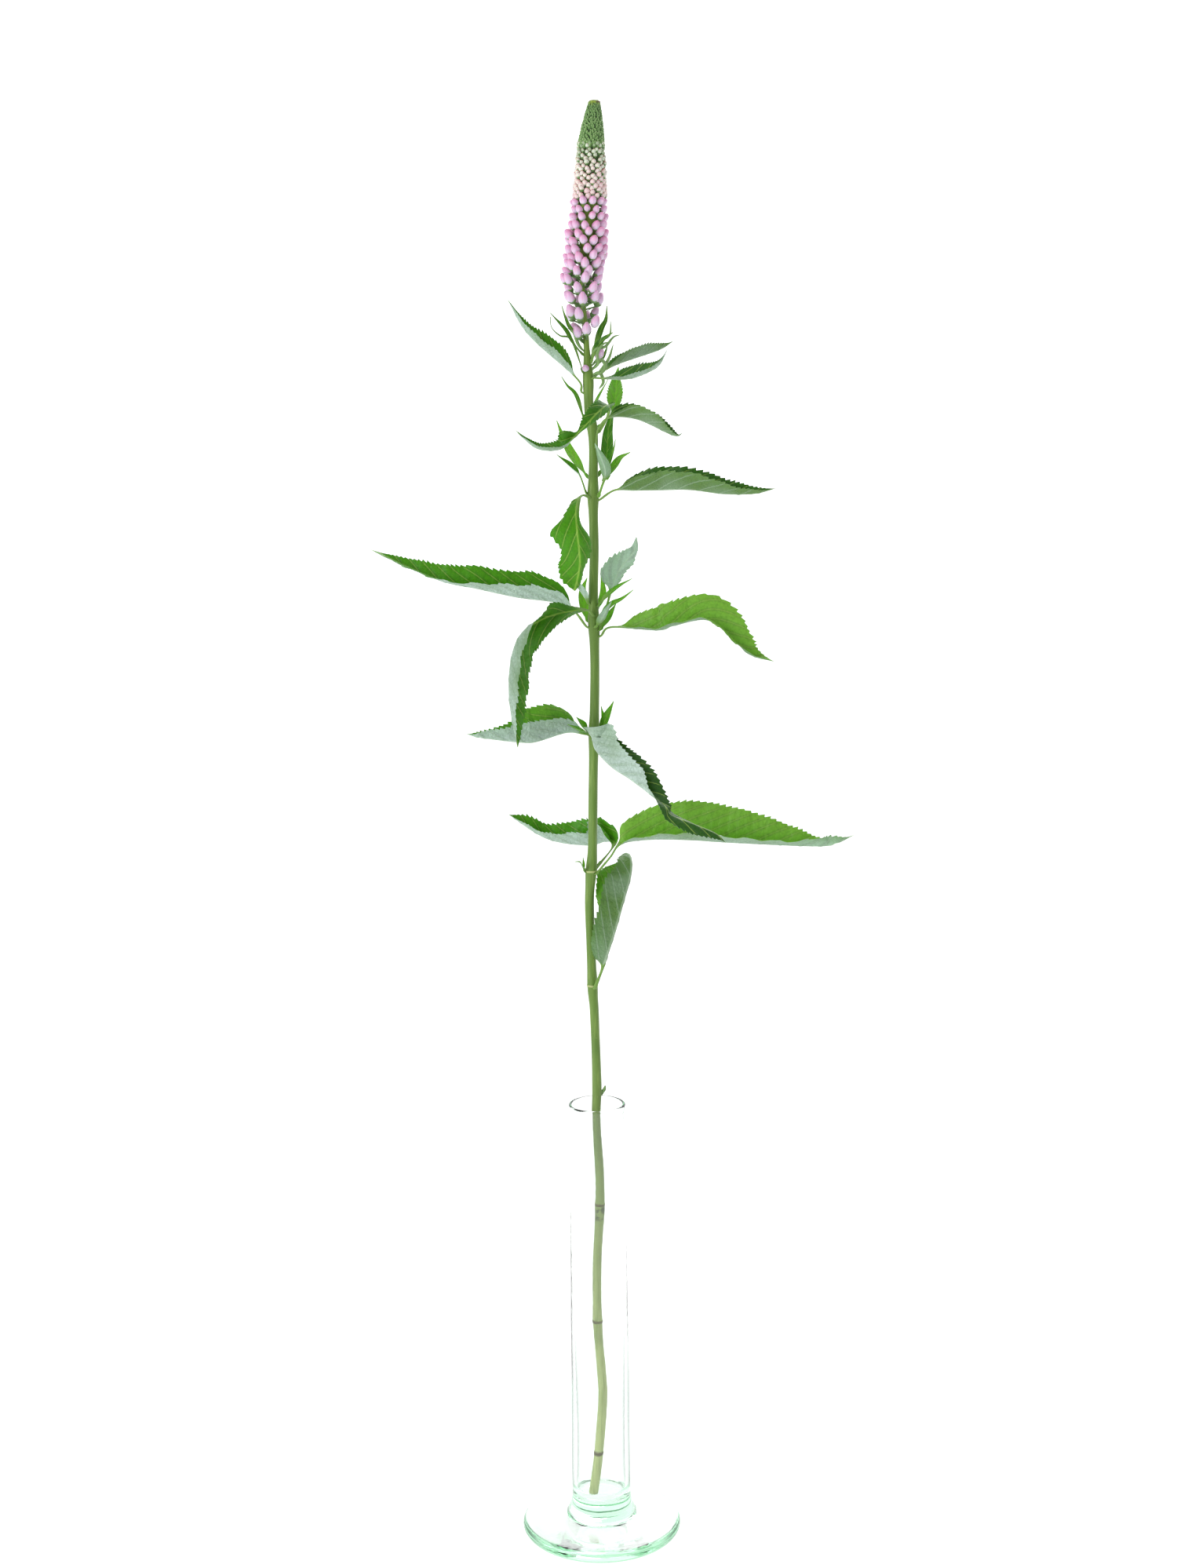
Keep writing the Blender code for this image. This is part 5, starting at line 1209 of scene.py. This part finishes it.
class BuildStem(bpy.types.Operator):
    """Build the cut stem with its old leaf rings"""

    bl_idname = "speedwell.build_stem"
    bl_label = "Stem"

    def execute(self, context):
        settings = context.scene.speedwell_stem
        grid, fields = stem_grid(settings)
        add_piece("stem_skin", grid, stem_material(settings), ["flower_stem"], fields)
        return {"FINISHED"}


class BuildLeaves(bpy.types.Operator):
    """Build the large toothed leaves"""

    bl_idname = "speedwell.build_leaves"
    bl_label = "Leaves"

    def execute(self, context):
        settings = context.scene.speedwell_leaf
        for seed, (name, leaf) in enumerate(LEAVES.items(), SEED):
            add_leaf(name, leaf, settings, settings.step, BLADE_SHARES, seed, "leaf")
        return {"FINISHED"}


class BuildYoungLeaves(bpy.types.Operator):
    """Build the small leaves of the shoots and the bracts under the spike"""

    bl_idname = "speedwell.build_young_leaves"
    bl_label = "Young leaves"

    def execute(self, context):
        settings = context.scene.speedwell_leaf
        for seed, (name, young) in enumerate(LEAFLETS.items(), SEED + 100):
            blade = BROAD_BLADES.get(name) or lance_blade(young.width, young.stalk, young.fold)
            leaf = Leaf(young.seat, young.fresh, young.fresh, [young.face], young.route, blade)
            toothed = young.width > TOOTHED_WIDTH
            add_leaf(name, leaf, settings, settings.step if toothed else settings.young_step, YOUNG_SHARES,
                     seed, "young_leaf", float(toothed))
        return {"FINISHED"}


class BuildBuds(bpy.types.Operator):
    """Build the rings of pink buds with their cups, stalks and bracts"""

    bl_idname = "speedwell.build_buds"
    bl_label = "Pink buds"

    def execute(self, context):
        settings = context.scene.speedwell_spike
        petals, scales = petal_material(settings), scale_material(settings)
        draw = np.random.default_rng(SEED + 200)
        cups, stalks, spears = [], [], []
        for name, bud_ring in PINK_RINGS.items():
            buds, count = ring_buds(bud_ring, draw), bud_ring.buds
            grid, fields = egg_grid(buds, 7, 10)
            fields["tone"] = (bud_ring.pink + draw.uniform(-0.2, 0.2, count))[:, None, None]
            add_piece(f"{name}_petals", grid, petals, [name], fields)
            cups.append(cup_grid(buds))
            low = buds.base[:, 2]
            stalks.append(pin_grid(stem_center(low - 1.2), buds.base + 0.3 * buds.axis, 0.38))
            outward = np.cross(buds.flank, UPRIGHT)
            spears.append(spear_grid(
                stem_center(low - 1.8) + 0.9 * outward, unit(outward + 0.45 * UPRIGHT), buds.flank,
                0.85 * buds.length * draw.uniform(0.8, 1.15, count), 0.22 * buds.width,
                draw.uniform(0.4, 1.6, count)))
        # cups and bracts take the painted gap shade of the scale material at their low ends
        for name, parts in (("bud_cups", cups), ("bud_bracts", spears)):
            grid, along = (np.concatenate(values) for values in zip(*parts))
            add_green(name, grid, scales, 0.35 + 0.6 * along)
        add_green("bud_stalks", np.concatenate(stalks), scales, 0.6)
        height, direction, reach, size, tilt, share = np.array(LONE_BUDS).T
        tilt, length = np.radians(tilt), share * size
        buds = place_buds(stem_center(height), height, np.radians(direction), tilt,
                          reach - size + length * np.sin(tilt), length, size, 0.0)
        grid, fields = egg_grid(buds, 8, 12)
        fields["tone"] = 0.2
        add_piece("lone_buds", grid, petals, (), fields)
        widths = draw.uniform(0.8, 1.5, len(LOOSE_BRACTS))
        add_green("loose_bracts", np.stack([*map(strip_grid, LOOSE_BRACTS, widths)]), scales, 0.8)
        return {"FINISHED"}


class BuildPaleBand(bpy.types.Operator):
    """Build the band of small pale buds above the pink ones"""

    bl_idname = "speedwell.build_pale_band"
    bl_label = "Pale buds"

    def execute(self, context):
        settings = context.scene.speedwell_spike
        draw = np.random.default_rng(SEED + 300)
        low, high = (corner[2] for corner in node_box("pale_bud_band"))
        rows = settings.pale_rows
        row, direction = staggered(rows, settings.pale_around, 0.06, 0.1, draw)
        share, count = (row + 0.2) / (rows - 0.6), len(row)
        height = low - 0.4 + (high - low + 1.6) * share + draw.uniform(-0.4, 0.4, count)
        tilt = np.radians(52 - 10 * share + draw.uniform(-12, 12, count))
        size = draw.uniform(0.82, 1.12, count)
        width, length = (2.75 - 1.05 * share) * size, (4.2 - 1.7 * share) * size
        reach = 7.9 - 1.55 * share**1.2 - draw.uniform(0, 0.7, count)
        center = stem_center(np.minimum(height, STEM_TOP))
        buds = place_buds(center, height, direction, tilt, reach, length, width, 0.6)
        grid, fields = egg_grid(buds, 7, 9, point=1.0, lobes=0.06)
        fields["tone"] = (0.85 * (1 - 1.15 * share) + draw.uniform(-0.25, 0.25, count)).clip(0, 1)[:, None, None]
        fields["green"] = (ease(share, 0.45, 1.0) * draw.uniform(0.2, 0.9, count))[:, None, None]
        add_piece("pale_bud_band_buds", grid, pale_bud_material(settings),
                  ["pale_bud_band"], fields)
        grid, along = cup_grid(buds)
        add_green("pale_bud_cups", grid, scale_material(settings), along)
        return {"FINISHED"}


class BuildTip(bpy.types.Operator):
    """Build the tight green scales of the spike's tip and the axis under them"""

    bl_idname = "speedwell.build_tip"
    bl_label = "Spike tip"

    def execute(self, context):
        settings = context.scene.speedwell_spike
        material = scale_material(settings)
        draw = np.random.default_rng(SEED + 400)
        band = node_box("pale_bud_band")[0][2]
        low, high = (corner[2] for corner in node_box("spike_tip"))
        rows = settings.tip_rows
        row, direction = staggered(rows, settings.tip_around, 0.05, 0.12, draw)
        share, count = row / (rows - 1), len(row)
        drift = np.array([1.6, 0, 0])
        height = low - 1.5 + (high - low - 0.3) * share**0.93 + draw.uniform(-0.35, 0.35, count)
        tilt = np.radians(42 - 22 * share + draw.uniform(-9, 9, count))
        size = draw.uniform(0.85, 1.15, count)
        buds = place_buds(stem_center(STEM_TOP) + drift * share[:, None], height, direction, tilt,
                          6.0 - 3.5 * share**1.25, (2.7 - 1.3 * share) * size, (1.55 - 0.75 * share) * size, 0.35)
        room = (high - 0.05 - buds.base[:, 2]) / np.cos(tilt)
        buds = buds._replace(length=np.minimum(buds.length, room))
        grid, fields = egg_grid(buds, 5, 7, point=0.75, lobes=0.0)
        crown = 1.4 * ease(share, 0.9, 1.0) + 1.2 * (row == rows - 1) * (np.cos(direction + 0.3) > 0.6)
        fields["tone"] = (0.4 * size + crown)[:, None, None]
        add_piece("spike_tip_scales", grid, material, ["spike_tip"], fields)

        level = np.linspace(band - 30, high - 0.5, 60)
        turn, rise = ring(16)[None, :], level[:, None]
        radius = np.interp(rise, [band - 30, band - 20, band, low, high - 1.2, high - 0.5],
                           [1.3, 3.4, 4.6, 4.6, 2.2, 1.9])
        radius = radius * (1 + 0.07 * np.sin(5 * turn + rise) + 0.05 * np.sin(3 * turn - rise / 2))
        center = stem_center(np.minimum(level, STEM_TOP)) + drift * ease(rise, low, high)
        center[:, 2] = level
        # The core shows between the buds: in the tip and the pale band it takes the painted gap shade, and below
        # the pale band the yellow green of the crown, lightened with painted light to lift the shade between the
        # pink buds
        add_green("spike_core", center[:, None] + turned(radius, turn, 0), material,
                  (0.1 + 0.6 * (level < band) + 0.3 * (level > high - 2))[None, :, None],
                  (0.5 + 1.05 * (level < band) + 1.6 * (level > high - 1.4))[None, :, None])
        return {"FINISHED"}


class BuildStage(bpy.types.Operator):
    """Lay the white floor, the soft lights and the camera"""

    bl_idname = "speedwell.build_stage"
    bl_label = "Stage"

    def execute(self, context):
        settings = context.scene.speedwell_stage
        self.floor(context, settings)
        self.surround(context, settings)
        self.light(context, "key_light", settings.key, KEY_WIDTH, KEY_PLACE)
        self.light(context, "back_light", settings.back, BACK_WIDTH, BACK_PLACE)
        camera = bpy.data.cameras.new("camera")
        camera.lens, camera.sensor_width, camera.clip_start = LENS, SENSOR_WIDTH, 0.01
        viewer = bpy.data.objects.new("camera", camera)
        context.scene.collection.objects.link(viewer)
        viewer.matrix_world = (Matrix.Translation((CAMERA_SIDE, -settings.distance, settings.eye_height))
                               @ Matrix.Rotation(math.radians(90 - settings.pitch), 4, "X")
                               @ Matrix.Rotation(math.radians(-settings.roll), 4, "Z"))
        context.scene.camera = viewer
        context.scene.view_settings.view_transform = "Standard"
        # light crosses many glass walls on its way through the vase
        paths = context.scene.cycles
        paths.max_bounces, paths.glossy_bounces, paths.transmission_bounces = 24, 16, 24
        return {"FINISHED"}

    def floor(self, context, settings):
        """A flat disc: rings of points whose radii grow evenly to the floor's, all at height 0."""
        radius = np.linspace(0.05, 1, FLOOR_RINGS)[:, None] * settings.floor_radius
        points = turned(radius, ring(FLOOR_SIDES)[None, :], 0)
        spot = np.arange(FLOOR_RINGS * FLOOR_SIDES).reshape(FLOOR_RINGS, FLOOR_SIDES)
        after = np.roll(spot, -1, axis=1)
        quads = np.stack([spot[:-1], spot[1:], after[1:], after[:-1]], axis=-1).reshape(-1, 4)
        mesh = bpy.data.meshes.new("floor")
        mesh.from_pydata(points.reshape(-1, 3).tolist(), [], quads.tolist() + [spot[0].tolist()])
        mesh.update()
        mesh.materials.append(floor_material(settings))
        floor = bpy.data.objects.new("floor", mesh)
        context.scene.collection.objects.link(floor)
        floor.location.z = -FLOOR_GAP

    def surround(self, context, settings):
        """White on every side, dimmer behind the viewer, so that the glass shows its edges."""
        context.scene.world = bpy.data.worlds.new("studio")
        nodes = Nodes(context.scene.world)
        direction = nodes.add("ShaderNodeTexCoord", output="Generated")
        toward_back, toward_side = nodes.part(direction, "Y"), nodes.part(direction, "X")
        share = nodes.rise(toward_back, -0.6, 0.3) * nodes.rise(toward_side * toward_side, 0.75, 0.2)
        power = settings.dim + (settings.sky - settings.dim) * share
        white = (1.0, 1.0, 1.0)
        light = nodes.add("ShaderNodeBackground", {"Color": white, "Strength": power})
        plain = nodes.add("ShaderNodeBackground", {"Color": white, "Strength": settings.sky})
        seen = nodes.add("ShaderNodeLightPath", output="Is Camera Ray")
        mixed = nodes.add("ShaderNodeMixShader", {0: seen, 1: light, 2: plain})
        nodes.add("ShaderNodeOutputWorld", {"Surface": mixed})

    def light(self, context, name, power, size, place):
        """A square soft light that faces the middle of the plant."""
        lamp = bpy.data.lights.new(name, "AREA")
        lamp.energy, lamp.size = power, size
        holder = bpy.data.objects.new(name, lamp)
        context.scene.collection.objects.link(holder)
        turn = (Vector((0, 0, PLANT_MIDDLE)) - Vector(place)).to_track_quat("-Z", "Y")
        holder.matrix_world = Matrix.Translation(place) @ turn.to_matrix().to_4x4()


OPERATORS = (BuildVase, BuildStem, BuildLeaves, BuildYoungLeaves, BuildBuds, BuildPaleBand, BuildTip,
             BuildStage)


class SpeedwellPanel(bpy.types.Panel):
    """Lists the pieces of the speedwell and their settings"""

    bl_idname = "VIEW3D_PT_speedwell"
    bl_label = "Speedwell"
    bl_space_type = "VIEW_3D"
    bl_region_type = "UI"
    bl_category = "Speedwell"

    def draw(self, context):
        for operator in OPERATORS:
            self.layout.operator(operator.bl_idname)
        for group, kind in GROUPS.items():
            box = self.layout.box()
            for name in kind.__annotations__:
                box.prop(getattr(context.scene, group), name)


def register():
    for group, kind in GROUPS.items():
        bpy.utils.register_class(kind)
        setattr(bpy.types.Scene, group, PointerProperty(type=kind))
    for kind in (*OPERATORS, SpeedwellPanel):
        bpy.utils.register_class(kind)


def unregister():
    for kind in (SpeedwellPanel, *reversed(OPERATORS)):
        bpy.utils.unregister_class(kind)
    for group, kind in GROUPS.items():
        delattr(bpy.types.Scene, group)
        bpy.utils.unregister_class(kind)


def main():
    register()
    bpy.ops.speedwell.build_vase()
    bpy.ops.speedwell.build_stem()
    bpy.ops.speedwell.build_leaves()
    bpy.ops.speedwell.build_young_leaves()
    bpy.ops.speedwell.build_buds()
    bpy.ops.speedwell.build_pale_band()
    bpy.ops.speedwell.build_tip()
    bpy.ops.speedwell.build_stage()


if __name__ == "__main__":
    main()
